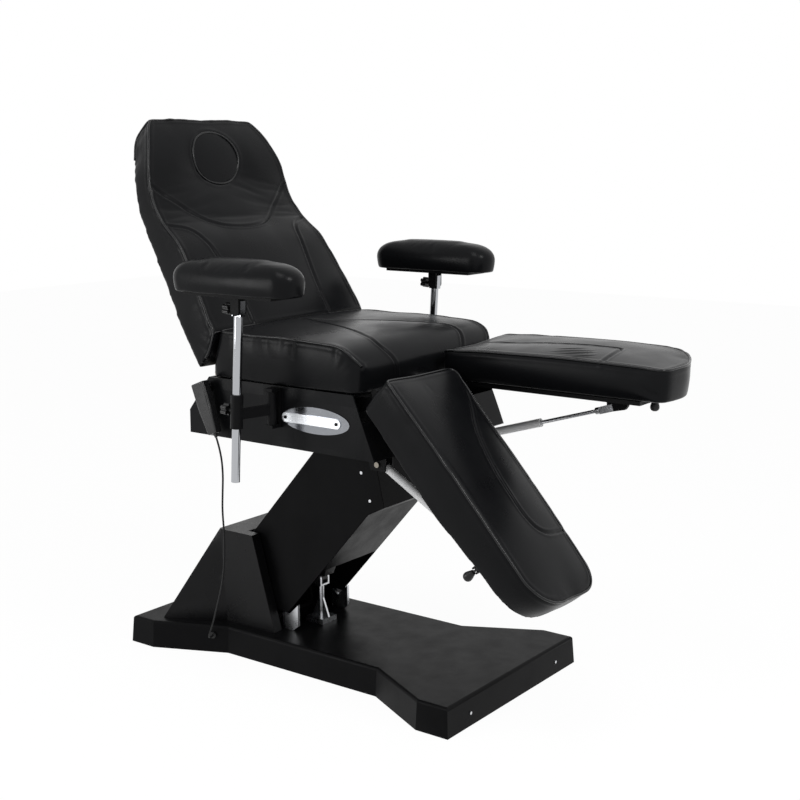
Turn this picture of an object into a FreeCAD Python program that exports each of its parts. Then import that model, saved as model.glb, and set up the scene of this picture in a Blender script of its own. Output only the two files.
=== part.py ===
import FreeCAD, Part
import os
from math import cos, hypot, radians, sin, tan, atan2, degrees
import Sketcher
from FreeCAD import Placement, Rotation, Vector

# Powered tattoo chair. +Z is up, the sitter faces -Y, and the origin is on the floor
# under the middle of the base. The near side is -X, the far side is +X.
doc = FreeCAD.newDocument("tattoo_chair")
sheet = doc.addObject("Spreadsheet::Sheet", "sizes")

# Driving dimensions in millimetres and degrees, one group for each part of the chair.
DRIVING = (
    # clearances and cuts
    ("overrun", 20), ("face_gap", 0.3), ("run_gap", 0.05), ("side_play", 1.0),
    # base: floor plate and its moulded cover
    ("base_height", 76), ("base_length", 1094), ("base_rear_width", 582),
    ("base_front_width", 608), ("base_waist_width", 401), ("waist_rear_y", 260),
    ("waist_front_y", -253), ("rear_side", 85), ("front_side", 94), ("base_draft", 3.5),
    ("base_edge_radius", 8), ("plate_thick", 8), ("plate_inset", 14), ("floor_gap", 1),
    ("base_screw_x", 204), ("base_screw_z", 33), ("screw_head_radius", 4),
    ("screw_head_height", 2),
    # rear housing that the lift arm swings in
    ("cheek_outer", 158), ("cheek_inner", 128), ("housing_top", 338), ("cheek_foot_y", 125),
    ("cheek_top_y", 202), ("housing_bend_y", 301), ("housing_ridge_y", 326),
    ("housing_tail_y", 463), ("housing_tail_x", 246), ("ridge_chamfer", 6),
    ("slot_back_y", 300), ("slot_lip_y", 242), ("slot_roof", 331),
    # lift arm: lower pivot, upper pivot and the cover around it
    ("arm_angle", 49), ("lower_pivot_y", 240), ("lower_pivot_z", 240), ("arm_reach", 545),
    ("upper_pivot_rise", 16), ("cover_half_width", 120), ("cover_wall", 3), ("cover_top", 56),
    ("cover_under", 174), ("cover_roof_short", 50), ("cover_pan_start", 185),
    ("cover_head_past", 71), ("cover_nose_short", 65), ("cover_nose_drop", 196),
    ("cover_kink_short", 120), ("cover_chin_past", 55), ("cover_chin_drop", 31),
    ("cover_tail", 48), ("cover_foot", 25), ("cover_foot_drop", 141), ("cover_tail_rise", 17),
    ("beam_outer", 112), ("beam_thick", 10), ("beam_half_height", 40), ("beam_tie_radius", 16),
    ("beam_tie_start", 150), ("beam_tie_end", 400), ("pivot_pin_radius", 12), ("lug_outer", 94),
    ("lug_thick", 10), ("lug_half_length", 42), ("lug_head_radius", 26),
    # levelling link beside the arm
    ("link_offset", 60), ("link_outer", 82), ("link_thick", 12), ("link_half_height", 14),
    ("link_pin_radius", 8), ("link_eye_gap", 1),
    # lift actuator on its post
    ("post_y", 90), ("ram_foot_z", 200), ("post_radius", 8), ("fork_gap_half", 13),
    ("fork_thick", 6), ("fork_half_length", 14), ("fork_base_height", 10), ("gusset_foot", 28),
    ("gusset_top", 76), ("gusset_thick", 6), ("foot_block_half", 30), ("foot_block_height", 14),
    ("ram_pin_radius", 6), ("ram_head_reach", 430), ("ram_head_drop", 20),
    ("ram_tube_radius", 18), ("ram_tube_length", 236), ("ram_tube_start", 22),
    ("ram_rod_radius", 9), ("ram_eye_radius", 20), ("ram_eye_hole", 14), ("ram_head_pin", 6),
    ("ram_eye_thick", 20), ("motor_radius", 21), ("motor_length", 95), ("motor_offset", 40),
    ("gearbox_height", 34),
    # zinc plated foot lugs at the arm's lower end
    ("stop_outer", 112), ("stop_thick", 8), ("stop_rear_y", 136), ("stop_front_y", 80),
    ("stop_low", 54), ("stop_high", 74), ("stop_notch", 38), ("stop_step", 14),
    # seat frame under the seat
    ("frame_skin", 6), ("rail_height", 38), ("rail_inner", 162), ("rail_outer", 198),
    ("frame_front_y", -245), ("frame_rear_y", 214), ("board_rear_y", 197),
    # skirt: the upholstered housing under the seat
    ("skirt_half_width", 290), ("skirt_wall", 4), ("skirt_rear_top_y", 217),
    ("skirt_bend_y", 256), ("skirt_bend_z", 742), ("skirt_rear_y", 290), ("skirt_rear_z", 700),
    ("skirt_bottom", 639), ("skirt_front_y", -322), ("skirt_front_top_y", -257),
    ("skirt_window_z", 728),
    # oval chrome plates on the skirt
    ("oval_y", -142), ("oval_z", 719), ("oval_half_length", 107), ("oval_half_height", 33),
    ("oval_thick", 2), ("bar_half_length", 93), ("bar_shift", 12), ("bar_half_height", 12),
    ("bar_thick", 3), ("bar_screw_radius", 4), ("bar_screw_height", 2),
    # seat
    ("seat_half_width", 300), ("seat_front_y", -282), ("seat_rear_y", 209),
    ("seat_bottom", 794.3), ("seat_top", 912), ("seat_crown", 10), ("seat_pull_in", 5),
    ("seat_front_drop", 40), ("seat_front_round", 76), ("seat_corner", 34),
    ("seat_rear_round", 30), ("board_thick", 12),
    # backrest, in its own frame: along from the hinge, out towards the sitter
    ("back_recline", 58.3), ("back_hinge_y", 250), ("back_hinge_z", 791),
    ("back_half_width", 308), ("back_shoulder_width", 290), ("back_neck_width", 272),
    ("back_crest_width", 197), ("back_length", 702), ("back_face", 125), ("neck_dip", 34),
    ("neck_along", 455), ("shoulder_along", 290), ("head_along", 600), ("back_foot_along", 10),
    ("back_lip_along", 79), ("back_rear_low", 19), ("back_rear_mid", 32),
    ("back_rear_high", 72), ("back_rear_mid_along", 508), ("back_rear_high_along", 638),
    ("back_crest_along", 673), ("back_crown", 10), ("back_pull_in", 5), ("plug_along", 566),
    ("plug_half_along", 86), ("plug_half_across", 84), ("plug_gap", 1.5), ("plug_proud", 8),
    ("plug_depth", 45), ("plug_travel", 90), ("back_frame_thick", 12), ("back_frame_half", 170),
    ("back_frame_length", 430), ("hinge_ear_x", 206), ("hinge_ear_thick", 8),
    ("hinge_ear_radius", 16), ("hinge_bolt_radius", 7), ("hinge_head_radius", 12),
    ("hinge_head_height", 7),
    # back actuator under the seat
    ("tilt_x", 236), ("tilt_foot_y", -150), ("tilt_foot_z", 690), ("tilt_horn_y", 240),
    ("tilt_horn_z", 703), ("tilt_tube_radius", 15), ("tilt_tube_length", 215),
    ("tilt_rod_radius", 6), ("tilt_eye_radius", 13), ("tilt_pin_radius", 5),
    ("tilt_eye_thick", 12), ("tilt_lug_thick", 6),
    # leg rests, in their own frame from the hinge line
    ("leg_hinge_y", -295), ("leg_hinge_z", 800), ("leg_inner_x", 10), ("leg_outer_x", 290),
    ("leg_rear_gap", 13), ("leg_length", 620), ("leg_thick", 81), ("leg_crown", 22),
    ("leg_foot_round", 125), ("leg_toe_round", 32), ("leg_rear_round", 38),
    ("leg_corner", 14), ("leg_lip_width", 17), ("leg_lip_drop", 21), ("leg_lip_length", 330),
    ("leg_lip_run", 145), ("leg_pull_in", 5), ("leg_under", 5),
    ("leg_drop", 48.3), ("leg_pan_thick", 10), ("leg_pan_inset", 22), ("leg_pin_radius", 5),
    ("leg_knuckle_radius", 9), ("leg_ear_near", 58), ("leg_ear_far", 242), ("leg_ear_thick", 7),
    # gas springs
    ("spring_x", 180), ("spring_foot_y", -262), ("spring_foot_z", 608),
    ("spring_head_back", 408), ("spring_head_drop", 59), ("spring_tube_radius", 11),
    ("spring_tube_length", 234), ("spring_tube_start", 18), ("spring_rod_radius", 5),
    ("spring_eye_radius", 9), ("spring_eye_thick", 14), ("spring_bolt_radius", 4),
    ("spring_fork_length", 30), ("spring_fork_gap", 6.5), ("spring_fork_thick", 4),
    ("spring_fork_half", 9), ("spring_nut_radius", 9), ("spring_nut_length", 13),
    ("spring_pin_radius", 4), ("tongue_half", 6), ("tongue_length", 66), ("tongue_round", 9),
    ("clevis_inner", 13), ("clevis_thick", 5), ("clevis_length", 44), ("clevis_foot", 16),
    ("bolt_head_radius", 7), ("bolt_head_height", 5),
    # release levers under the leg rests
    ("lever_x", 262), ("lever_back", 486), ("lever_plate", 15), ("lever_plate_thick", 4),
    ("lever_rod_radius", 3), ("lever_rod_length", 14), ("lever_knob_length", 28),
    ("lever_knob_radius", 10), ("lever_neck_radius", 5),
    # armrests
    ("post_x", 411), ("post_foot_y", 16), ("post_foot_z", 567), ("post_length", 451),
    ("post_lean", 3.2), ("post_radius_arm", 11), ("sleeve_low", 136), ("sleeve_length", 84),
    ("sleeve_radius", 15.5), ("swing_x", 309), ("swing_y", -16), ("swing_pin_radius", 7),
    ("swing_boss_radius", 12), ("swing_low", 724), ("arm_bar_height", 26),
    ("arm_bar_thick", 12), ("bracket_half", 16), ("bracket_low", 690), ("bracket_high", 790),
    ("bracket_thick", 5), ("bracket_lip", 8), ("knob_radius", 15), ("knob_length", 17),
    ("knob_stem_radius", 4), ("knob_stem_length", 14), ("knob_lobes", 5),
    ("knob_lobe_radius", 5), ("tilt_pivot_drop", 24), ("head_block_half", 14),
    ("head_block_height", 38), ("pad_length", 388), ("pad_width", 112), ("pad_rise", 43.7),
    ("pad_thick", 30), ("pad_crown", 54), ("pad_shift", 0.8), ("pad_end_round", 52),
    ("pad_bulge", 4),
    ("pad_board_thick", 10), ("pad_board_inset", 14), ("ear_gap_half", 9.5), ("ear_thick", 5),
    ("ear_half", 13),
    # handset on the skirt, and its cord
    ("handset_y", 198), ("handset_z", 718), ("handset_length", 138), ("handset_width", 46),
    ("handset_thick", 24), ("handset_tilt", 21.5), ("handset_out", 16), ("handset_edge", 4),
    ("hook_thick", 3), ("hook_width", 20), ("hook_height", 24), ("hook_rise", 50),
    ("key_width", 26), ("key_height", 14), ("key_proud", 1.2), ("key_depth", 2.5),
    ("key_gap", 0.4), ("key_travel", 0.8), ("key_pitch", 22), ("cord_diameter", 5),
    ("relief_length", 14), ("relief_radius", 6), ("relief_tip_radius", 3.2),
    ("grommet_radius", 9), ("grommet_thick", 3), ("grommet_height", 50),
)


class Size:
    """A number of the sheet, or a sum of such numbers, with the formula that gives it."""

    def __init__(self, value, text):
        self.value = float(value)
        self.text = text

    def __float__(self):
        return self.value

    def _join(self, other, sign, value, swapped=False):
        text = other.text if isinstance(other, Size) else repr(other)
        pair = (text, self.text) if swapped else (self.text, text)
        return Size(value, "(%s %s %s)" % (pair[0], sign, pair[1]))

    def __add__(self, other):
        return self._join(other, "+", self.value + float(other))

    def __radd__(self, other):
        return self._join(other, "+", self.value + float(other), True)

    def __sub__(self, other):
        return self._join(other, "-", self.value - float(other))

    def __rsub__(self, other):
        return self._join(other, "-", float(other) - self.value, True)

    def __mul__(self, other):
        return self._join(other, "*", self.value * float(other))

    def __rmul__(self, other):
        return self._join(other, "*", self.value * float(other), True)

    def __truediv__(self, other):
        return self._join(other, "/", self.value / float(other))

    def __neg__(self):
        return Size(-self.value, "(-%s)" % self.text)


class Sizes:
    """Reads the sheet's aliases as Size values."""

    def __getattr__(self, alias):
        return Size(sheet.get(alias), "sizes." + alias)


for row, (alias, value) in enumerate(DRIVING, 1):
    sheet.set("A%d" % row, alias)
    sheet.set("B%d" % row, str(value))
    sheet.setAlias("B%d" % row, alias)
doc.recompute()
s = Sizes()
SIDES = (("near", -1), ("far", 1))
parts = []


def text_of(size):
    """Formula of a size, or the plain zero."""
    return size.text if isinstance(size, Size) else repr(size)


def sine(angle):
    return Size(sin(radians(angle.value)), "sin(%s)" % angle.text)


def cosine(angle):
    return Size(cos(radians(angle.value)), "cos(%s)" % angle.text)


def tangent(angle):
    return Size(tan(radians(angle.value)), "tan(%s)" % angle.text)


def bind(item, prop, size):
    """Ties a property to the sheet."""
    item.setExpression(prop, text_of(size))


def keep(item, label):
    """Marks an object as a finished sub-part and gives it its name."""
    item.Label = label
    parts.append(item)
    return item


def swing(item, angle, y, z, axis="1; 0; 0", x=0):
    """Turns a piece that was built level about a line through a point."""
    item.setExpression("Placement", "placement(vector(0; 0; 0); rotation(vector(%s); %s); "
                       "vector(%s; %s; %s))" % (axis, text_of(angle), text_of(x),
                                                text_of(y), text_of(z)))
    return item


def box(name, x, y, z):
    """Block between two values on each axis."""
    item = doc.addObject("Part::Box", name)
    for prop, axis, pair in (("Length", "x", x), ("Width", "y", y), ("Height", "z", z)):
        bind(item, prop, pair[1] - pair[0])
        bind(item, "Placement.Base." + axis, pair[0])
    return item


def rod(name, radius, start, length, direction=(1, 0, 0)):
    """Round bar from a point, along a direction."""
    item = doc.addObject("Part::Cylinder", name)
    bind(item, "Radius", radius)
    bind(item, "Height", length)
    for axis, value in zip("xyz", start):
        bind(item, "Placement.Base." + axis, value)
    item.Placement.Rotation = Rotation(Vector(0, 0, 1), Vector(*direction))
    return item


def taper(name, radius, tip, start, length, direction=(0, 0, 1)):
    """Round bar that narrows along its length."""
    item = doc.addObject("Part::Cone", name)
    bind(item, "Radius1", radius)
    bind(item, "Radius2", tip)
    bind(item, "Height", length)
    for axis, value in zip("xyz", start):
        bind(item, "Placement.Base." + axis, value)
    item.Placement.Rotation = Rotation(Vector(0, 0, 1), Vector(*direction))
    return item


def join(name, items):
    """One solid from several."""
    item = doc.addObject("Part::MultiFuse", name)
    item.Shapes = items
    item.Refine = True
    return item


def cut(name, base, tools):
    """A solid less one or more tools."""
    item = doc.addObject("Part::Cut", name)
    item.Base = base
    item.Tool = tools[0] if len(tools) == 1 else join(name + "_tools", tools)
    return item


def group(name, items):
    """Like pieces kept as separate solids under one name."""
    item = doc.addObject("Part::Compound", name)
    item.Links = items
    return item


def sketch(body, plane, name, points, offset=0):
    """Closed outline whose corners are tied to the sheet."""
    item = body.newObject("Sketcher::SketchObject", name)
    origin = [f for f in body.Origin.OriginFeatures if f.Role == plane][0]
    item.AttachmentSupport = [(origin, "")]
    item.MapMode = "FlatFace"
    bind(item, "AttachmentOffset.Base.z", offset)
    outline(item, points)
    return item


def outline(item, points):
    """Draws a closed run of lines in a sketch and ties its corners to the sheet."""
    corners = [Vector(float(u), float(v), 0) for u, v in points]
    count = len(points)
    for i in range(count):
        item.addGeometry(Part.LineSegment(corners[i], corners[(i + 1) % count]), False)
    for i in range(count):
        item.addConstraint(Sketcher.Constraint("Coincident", i, 2, (i + 1) % count, 1))
    for i, (u, v) in enumerate(points):
        for kind, value in (("DistanceX", u), ("DistanceY", v)):
            row = item.addConstraint(Sketcher.Constraint(kind, -1, 1, i, 1, float(value)))
            if isinstance(value, Size):
                item.setExpression("Constraints[%d]" % row, value.text)


def side_plate(name, points, x_low, thick):
    """Plate with an outline in the side view, standing at one place across the chair."""
    body = doc.addObject("PartDesign::Body", name)
    pad = body.newObject("PartDesign::Pad", name + "_pad")
    pad.Profile = sketch(body, "YZ_Plane", name + "_outline", points, x_low)
    bind(pad, "Length", thick)
    return body


def pocket(body, name, profile, length, midplane=False, backwards=False):
    """Cut of a set length into a body."""
    item = body.newObject("PartDesign::Pocket", name)
    item.Profile = profile
    item.Midplane = midplane
    item.Reversed = backwards
    bind(item, "Length", length)
    return item


def round_edges(body, name, radius, wanted):
    """Fillet on the edges of the body's last shape that the test picks."""
    base = body.Tip
    doc.recompute()
    names = ["Edge%d" % (i + 1) for i, e in enumerate(base.Shape.Edges) if wanted(e)]
    item = body.newObject("PartDesign::Fillet", name)
    item.Base = (base, names)
    bind(item, "Radius", radius)
    return item


def feature(name, shape):
    """Sub-part whose shape comes from lofts or a swept path."""
    item = doc.addObject("Part::Feature", name)
    item.Shape = shape
    return item


def level(edge, height):
    """True for an edge that lies at one height."""
    return all(abs(v.Z - float(height)) < 1e-4 for v in edge.Vertexes)


def mirrored(points):
    """Outline of a symmetrical plan, from its +X half in order."""
    return points + [(-x, y) for x, y in reversed(points)]
# BASE
def base_outline(inset):
    """Dog-bone plan of the base, drawn in by an inset."""
    return mirrored([
        (s.base_rear_width / 2 - inset, s.base_length / 2 - inset),
        (s.base_rear_width / 2 - inset, s.base_length / 2 - s.rear_side),
        (s.base_waist_width / 2 - inset, s.waist_rear_y),
        (s.base_waist_width / 2 - inset, s.waist_front_y),
        (s.base_front_width / 2 - inset, s.front_side - s.base_length / 2),
        (s.base_front_width / 2 - inset, inset - s.base_length / 2),
    ])


plate = doc.addObject("PartDesign::Body", "plate_body")
plate_pad = plate.newObject("PartDesign::Pad", "plate_pad")
plate_pad.Profile = sketch(plate, "XY_Plane", "plate_outline", base_outline(s.plate_inset))
bind(plate_pad, "Length", s.plate_thick)
keep(plate, "base_plate")

cover = doc.addObject("PartDesign::Body", "cover_body")
cover_pad = cover.newObject("PartDesign::Pad", "cover_pad")
cover_pad.Profile = sketch(cover, "XY_Plane", "cover_outline", base_outline(0),
                           s.floor_gap)
bind(cover_pad, "Length", s.base_height - s.floor_gap)
bind(cover_pad, "TaperAngle", -s.base_draft)
recess = sketch(cover, "XY_Plane", "plate_recess",
                base_outline(s.plate_inset - s.face_gap), s.floor_gap)
pocket(cover, "plate_pocket", recess, s.plate_thick - s.floor_gap, backwards=True)
round_edges(cover, "cover_edge", s.base_edge_radius, lambda e: level(e, s.base_height))

# Grommet in the flared flank of the base, where the cord goes in.
flank = Vector((s.base_rear_width - s.base_waist_width).value / 2,
               (s.base_length / 2 - s.rear_side - s.waist_rear_y).value, 0)
out_way = Vector(-flank.y, -flank.x, 0).normalize()
spot_y = s.waist_rear_y + s.overrun * 2
spot_x = -s.base_waist_width / 2 - s.overrun * 2 * flank.x / flank.y
root = (spot_x - s.grommet_thick * 3 * out_way.x, spot_y - s.grommet_thick * 3 * out_way.y,
        s.grommet_height)
grommet = rod("grommet_ring", s.grommet_radius, root, s.grommet_thick * 4, tuple(out_way))
keep(grommet, "cord_grommet")
seat_of_grommet = rod("grommet_seat", s.grommet_radius + s.run_gap, root, s.overrun,
                      tuple(out_way))
keep(cut("cover_bored", cover, [seat_of_grommet]), "base_cover")

# Screws through the end walls of the cover.
base_screws = []
for end in (1, -1):
    for side in (1, -1):
        wall_y = s.base_length / 2 - (s.base_screw_z - s.screw_head_radius) \
            * tangent(s.base_draft)
        head = rod("base_screw", s.screw_head_radius,
                   (s.base_screw_x * side, wall_y * end, s.base_screw_z),
                   s.screw_head_height, (0, end, 0))
        base_screws.append(head)
keep(group("base_screw_set", base_screws), "base_screws")

# REAR HOUSING
def plan_sketch(name, points, height):
    """Level outline standing free at a height, for a housing between two outlines."""
    item = doc.addObject("Sketcher::SketchObject", name)
    outline(item, points)
    bind(item, "Placement.Base.z", height)
    return item


housing = doc.addObject("Part::Loft", "housing_block")
housing.Sections = [
    plan_sketch("housing_foot", mirrored([
        (s.cheek_outer, s.cheek_foot_y), (s.cheek_outer, s.housing_bend_y),
        (s.housing_tail_x, s.housing_tail_y)]), s.base_height + s.run_gap),
    plan_sketch("housing_head", mirrored([
        (s.cheek_outer, s.cheek_top_y), (s.cheek_outer, s.housing_ridge_y - s.ridge_chamfer),
        (s.cheek_outer - s.ridge_chamfer, s.housing_ridge_y)]), s.housing_top),
]
housing.Solid = True
housing.Ruled = True
slot = side_plate("housing_slot", [
    (s.cheek_foot_y - s.overrun * 3, s.base_height - s.overrun),
    (s.slot_back_y, s.base_height - s.overrun),
    (s.slot_back_y, s.slot_roof - (s.slot_back_y - s.slot_lip_y) / 2),
    (s.slot_lip_y, s.slot_roof),
    (s.slot_lip_y, s.housing_top + s.overrun),
    (s.cheek_foot_y - s.overrun * 3, s.housing_top + s.overrun),
], -s.cheek_inner, s.cheek_inner * 2)
keep(cut("housing", housing, [slot]), "pedestal_cover")

# LIFT: lower pivot
deck = s.base_height + s.run_gap
lugs = [box("lift_foot", (-s.lug_outer, s.lug_outer),
            (s.lower_pivot_y - s.lug_half_length, s.lower_pivot_y + s.lug_half_length),
            (deck, deck + s.lug_thick))]
for side, sign in SIDES:
    low = s.lug_outer - s.lug_thick if sign > 0 else -s.lug_outer
    lugs.append(side_plate("lift_lug_" + side, [
        (s.lower_pivot_y - s.lug_half_length, deck),
        (s.lower_pivot_y + s.lug_half_length, deck),
        (s.lower_pivot_y + s.lug_head_radius, s.lower_pivot_z),
        (s.lower_pivot_y - s.lug_head_radius, s.lower_pivot_z)], low, s.lug_thick))
    lugs.append(rod("lift_lug_head", s.lug_head_radius, (low, s.lower_pivot_y,
                                                         s.lower_pivot_z), s.lug_thick))
lug_block = join("lift_bracket", lugs)
stud = rod("link_stud", s.link_pin_radius, (s.link_offset, s.lower_pivot_y,
                                            s.lower_pivot_z - s.link_offset),
           s.lug_outer - s.lug_thick - s.link_offset + s.run_gap)
bore = rod("lift_bore", s.pivot_pin_radius + s.run_gap,
           (-s.lug_outer - s.overrun, s.lower_pivot_y, s.lower_pivot_z),
           (s.lug_outer + s.overrun) * 2)
keep(join("lift_bracket_stud", [cut("lift_bracket_bored", lug_block, [bore]), stud]),
     "pivot_bracket")
keep(rod("low_pin", s.pivot_pin_radius, (-s.beam_outer, s.lower_pivot_y,
                                         s.lower_pivot_z), s.beam_outer * 2),
     "lift_pin_lower")

# LIFT: arm plates, built level from the lower pivot and then raised
arm_y = s.lower_pivot_y
arm_z = s.lower_pivot_z
head_y = arm_y - s.arm_reach
head_z = arm_z + s.upper_pivot_rise
beams = []
tie_half = s.cover_half_width - s.cover_wall - s.face_gap
for side, sign in SIDES:
    low = s.beam_outer - s.beam_thick if sign > 0 else -s.beam_outer
    beams.append(side_plate("beam_" + side, [
        (arm_y + s.beam_half_height / 2, arm_z - s.beam_half_height),
        (arm_y + s.beam_half_height, arm_z - s.beam_half_height / 2),
        (arm_y + s.beam_half_height, arm_z + s.beam_half_height / 2),
        (arm_y + s.beam_half_height / 2, arm_z + s.beam_half_height),
        (head_y - s.beam_half_height / 2, head_z + s.beam_half_height / 2),
        (head_y - s.beam_half_height, head_z),
        (head_y - s.beam_half_height, head_z - s.beam_half_height / 2),
        (head_y - s.beam_half_height / 2, head_z - s.beam_half_height)], low, s.beam_thick))
for reach in (s.beam_tie_start, s.beam_tie_end):
    beams.append(rod("beam_tie", s.beam_tie_radius,
                     (-tie_half, arm_y - reach, arm_z + s.beam_tie_radius * 3 / 2),
                     tie_half * 2))
ram_lug = s.ram_eye_thick / 2 + s.side_play
beams.append(rod("ram_pin", s.ram_head_pin,
                 (-ram_lug - s.fork_thick, arm_y - s.ram_head_reach,
                  arm_z - s.ram_head_drop), (ram_lug + s.fork_thick) * 2))
for low in (-ram_lug - s.fork_thick, ram_lug):
    beams.append(side_plate("ram_lug", [
        (arm_y - s.ram_head_reach - s.fork_half_length, arm_z - s.ram_head_drop),
        (arm_y - s.ram_head_reach, arm_z - s.ram_head_drop - s.fork_half_length),
        (arm_y - s.ram_head_reach + s.fork_half_length, arm_z - s.ram_head_drop),
        (arm_y - s.beam_tie_end + s.fork_half_length, arm_z + s.beam_tie_radius * 3 / 2),
        (arm_y - s.beam_tie_end - s.fork_half_length, arm_z + s.beam_tie_radius * 3 / 2)],
        low, s.fork_thick))
bores = [rod("beam_bore", s.pivot_pin_radius + s.run_gap,
             (-s.beam_outer - s.overrun, y, z), (s.beam_outer + s.overrun) * 2)
         for y, z in ((arm_y, arm_z), (head_y, head_z))]
arm = cut("arm_bored", join("arm_block", beams), bores)
keep(swing(arm, -s.arm_angle, arm_y, arm_z), "lift_arm")

# Cover of the arm: a bent shell, open at both ends and under its lower part.
cover_head = s.arm_reach + s.cover_head_past
cover_chin = s.arm_reach + s.cover_chin_past
cover_nose = s.arm_reach - s.cover_nose_short
cover_kink = s.arm_reach - s.cover_kink_short
roof_end = s.arm_reach - s.cover_roof_short
arm_shell = doc.addObject("PartDesign::Body", "arm_shell")
shell_pad = arm_shell.newObject("PartDesign::Pad", "shell_pad")
shell_pad.Profile = sketch(arm_shell, "YZ_Plane", "shell_outline", [
    (arm_y, arm_z + s.cover_top),
    (arm_y + s.cover_tail, arm_z + s.cover_tail_rise),
    (arm_y + s.cover_foot, arm_z - s.cover_foot_drop),
    (arm_y, arm_z - s.cover_under),
    (arm_y - cover_kink, arm_z - s.cover_under),
    (arm_y - cover_nose, arm_z - s.cover_nose_drop),
    (arm_y - cover_chin, arm_z - s.cover_chin_drop),
    (arm_y - cover_head, arm_z + s.upper_pivot_rise),
    (arm_y - cover_head + s.cover_foot, arm_z + s.cover_top),
], -s.cover_half_width)
bind(shell_pad, "Length", s.cover_half_width * 2)
doc.recompute()
open_faces = []
for i, face in enumerate(shell_pad.Shape.Faces, 1):
    middle = face.CenterOfMass
    tail = middle.y > arm_y.value - 1 and middle.z < arm_z.value + s.cover_top.value - 1
    head = middle.y < arm_y.value - cover_chin.value - 1
    if abs(face.normalAt(0, 0).x) < 0.5 and (tail or head):
        open_faces.append("Face%d" % i)
shell = arm_shell.newObject("PartDesign::Thickness", "shell_wall")
shell.Base = (shell_pad, open_faces)
shell.Reversed = True
shell.Join = 1
bind(shell, "Value", s.cover_wall)
roof = sketch(arm_shell, "XY_Plane", "roof_gap", [
    (-s.cover_half_width + s.cover_wall, arm_y - roof_end),
    (s.cover_half_width - s.cover_wall, arm_y - roof_end),
    (s.cover_half_width - s.cover_wall, arm_y - cover_head - s.overrun),
    (-s.cover_half_width + s.cover_wall, arm_y - cover_head - s.overrun)],
    arm_z + s.cover_top - s.overrun / 2)
pocket(arm_shell, "roof_cut", roof, s.overrun, backwards=True)
floor = sketch(arm_shell, "XY_Plane", "floor_gap_outline", [
    (-s.cover_half_width + s.cover_wall, arm_y - s.cover_pan_start),
    (s.cover_half_width - s.cover_wall, arm_y - s.cover_pan_start),
    (s.cover_half_width - s.cover_wall, arm_y + s.cover_tail),
    (-s.cover_half_width + s.cover_wall, arm_y + s.cover_tail)],
    arm_z - s.cover_under - s.overrun / 2)
pocket(arm_shell, "floor_cut", floor, s.overrun, backwards=True)
keep(swing(arm_shell, -s.arm_angle, arm_y, arm_z), "arm_cover")

arm_screws = []
for side, sign in SIDES:
    for reach, drop in ((roof_end, s.cover_under / 2),
                        (cover_nose - s.overrun, s.cover_under - s.overrun)):
        arm_screws.append(rod("arm_screw", s.screw_head_radius,
                              (s.cover_half_width * sign, arm_y - reach, arm_z - drop),
                              s.screw_head_height, (sign, 0, 0)))
keep(swing(group("arm_screw_set", arm_screws), -s.arm_angle, arm_y, arm_z), "arm_screws")

# LIFT: actuator on its post, in front of the housing
post_z = s.ram_foot_z
fork_side = [(sign, s.fork_gap_half if sign > 0 else -s.fork_gap_half - s.fork_thick)
             for _, sign in SIDES]
foot = [box("post_block", (-s.foot_block_half, s.foot_block_half),
            (s.post_y - s.foot_block_half, s.post_y + s.foot_block_half),
            (deck, deck + s.foot_block_height)),
        rod("post_stem", s.post_radius, (0, s.post_y, deck),
            post_z - s.fork_base_height * 2 - deck + s.run_gap, (0, 0, 1)),
        box("fork_base", (-s.fork_gap_half - s.fork_thick, s.fork_gap_half + s.fork_thick),
            (s.post_y - s.fork_half_length, s.post_y + s.fork_half_length),
            (post_z - s.fork_base_height * 2, post_z - s.fork_base_height * 3 / 2)),
        side_plate("post_gusset", [
            (s.post_y - s.gusset_foot, deck + s.foot_block_height),
            (s.post_y + s.gusset_foot, deck + s.foot_block_height),
            (s.post_y + s.post_radius / 2, deck + s.gusset_top),
            (s.post_y - s.post_radius / 2, deck + s.gusset_top)],
            -s.gusset_thick / 2, s.gusset_thick)]
for sign, low in fork_side:
    foot.append(box("fork_cheek", (low, low + s.fork_thick),
                    (s.post_y - s.fork_half_length, s.post_y + s.fork_half_length),
                    (post_z - s.fork_base_height * 2, post_z)))
    foot.append(rod("fork_head", s.fork_half_length, (low, s.post_y, post_z), s.fork_thick))
foot.append(rod("fork_pin", s.ram_pin_radius,
                (-s.fork_gap_half - s.fork_thick, s.post_y, post_z),
                (s.fork_gap_half + s.fork_thick) * 2))
keep(join("post", foot), "actuator_post")

# The ram is built level and swung up to the pin between the arm plates.
ram_y = s.post_y
ram_z = s.ram_foot_z
pin_y = arm_y - s.ram_head_reach * cosine(s.arm_angle) - s.ram_head_drop * sine(s.arm_angle)
pin_z = arm_z + s.ram_head_reach * sine(s.arm_angle) - s.ram_head_drop * cosine(s.arm_angle)


def span(y0, z0, y1, z1):
    """Length and elevation of a line in the side view, towards the front."""
    across = y0 - y1
    rise = z1 - z0
    length = Size(hypot(across.value, rise.value), "hypot(%s; %s)" % (across.text, rise.text))
    angle = Size(degrees(atan2(rise.value, across.value)),
                 "atan2(%s; %s)" % (rise.text, across.text))
    return length, angle


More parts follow.
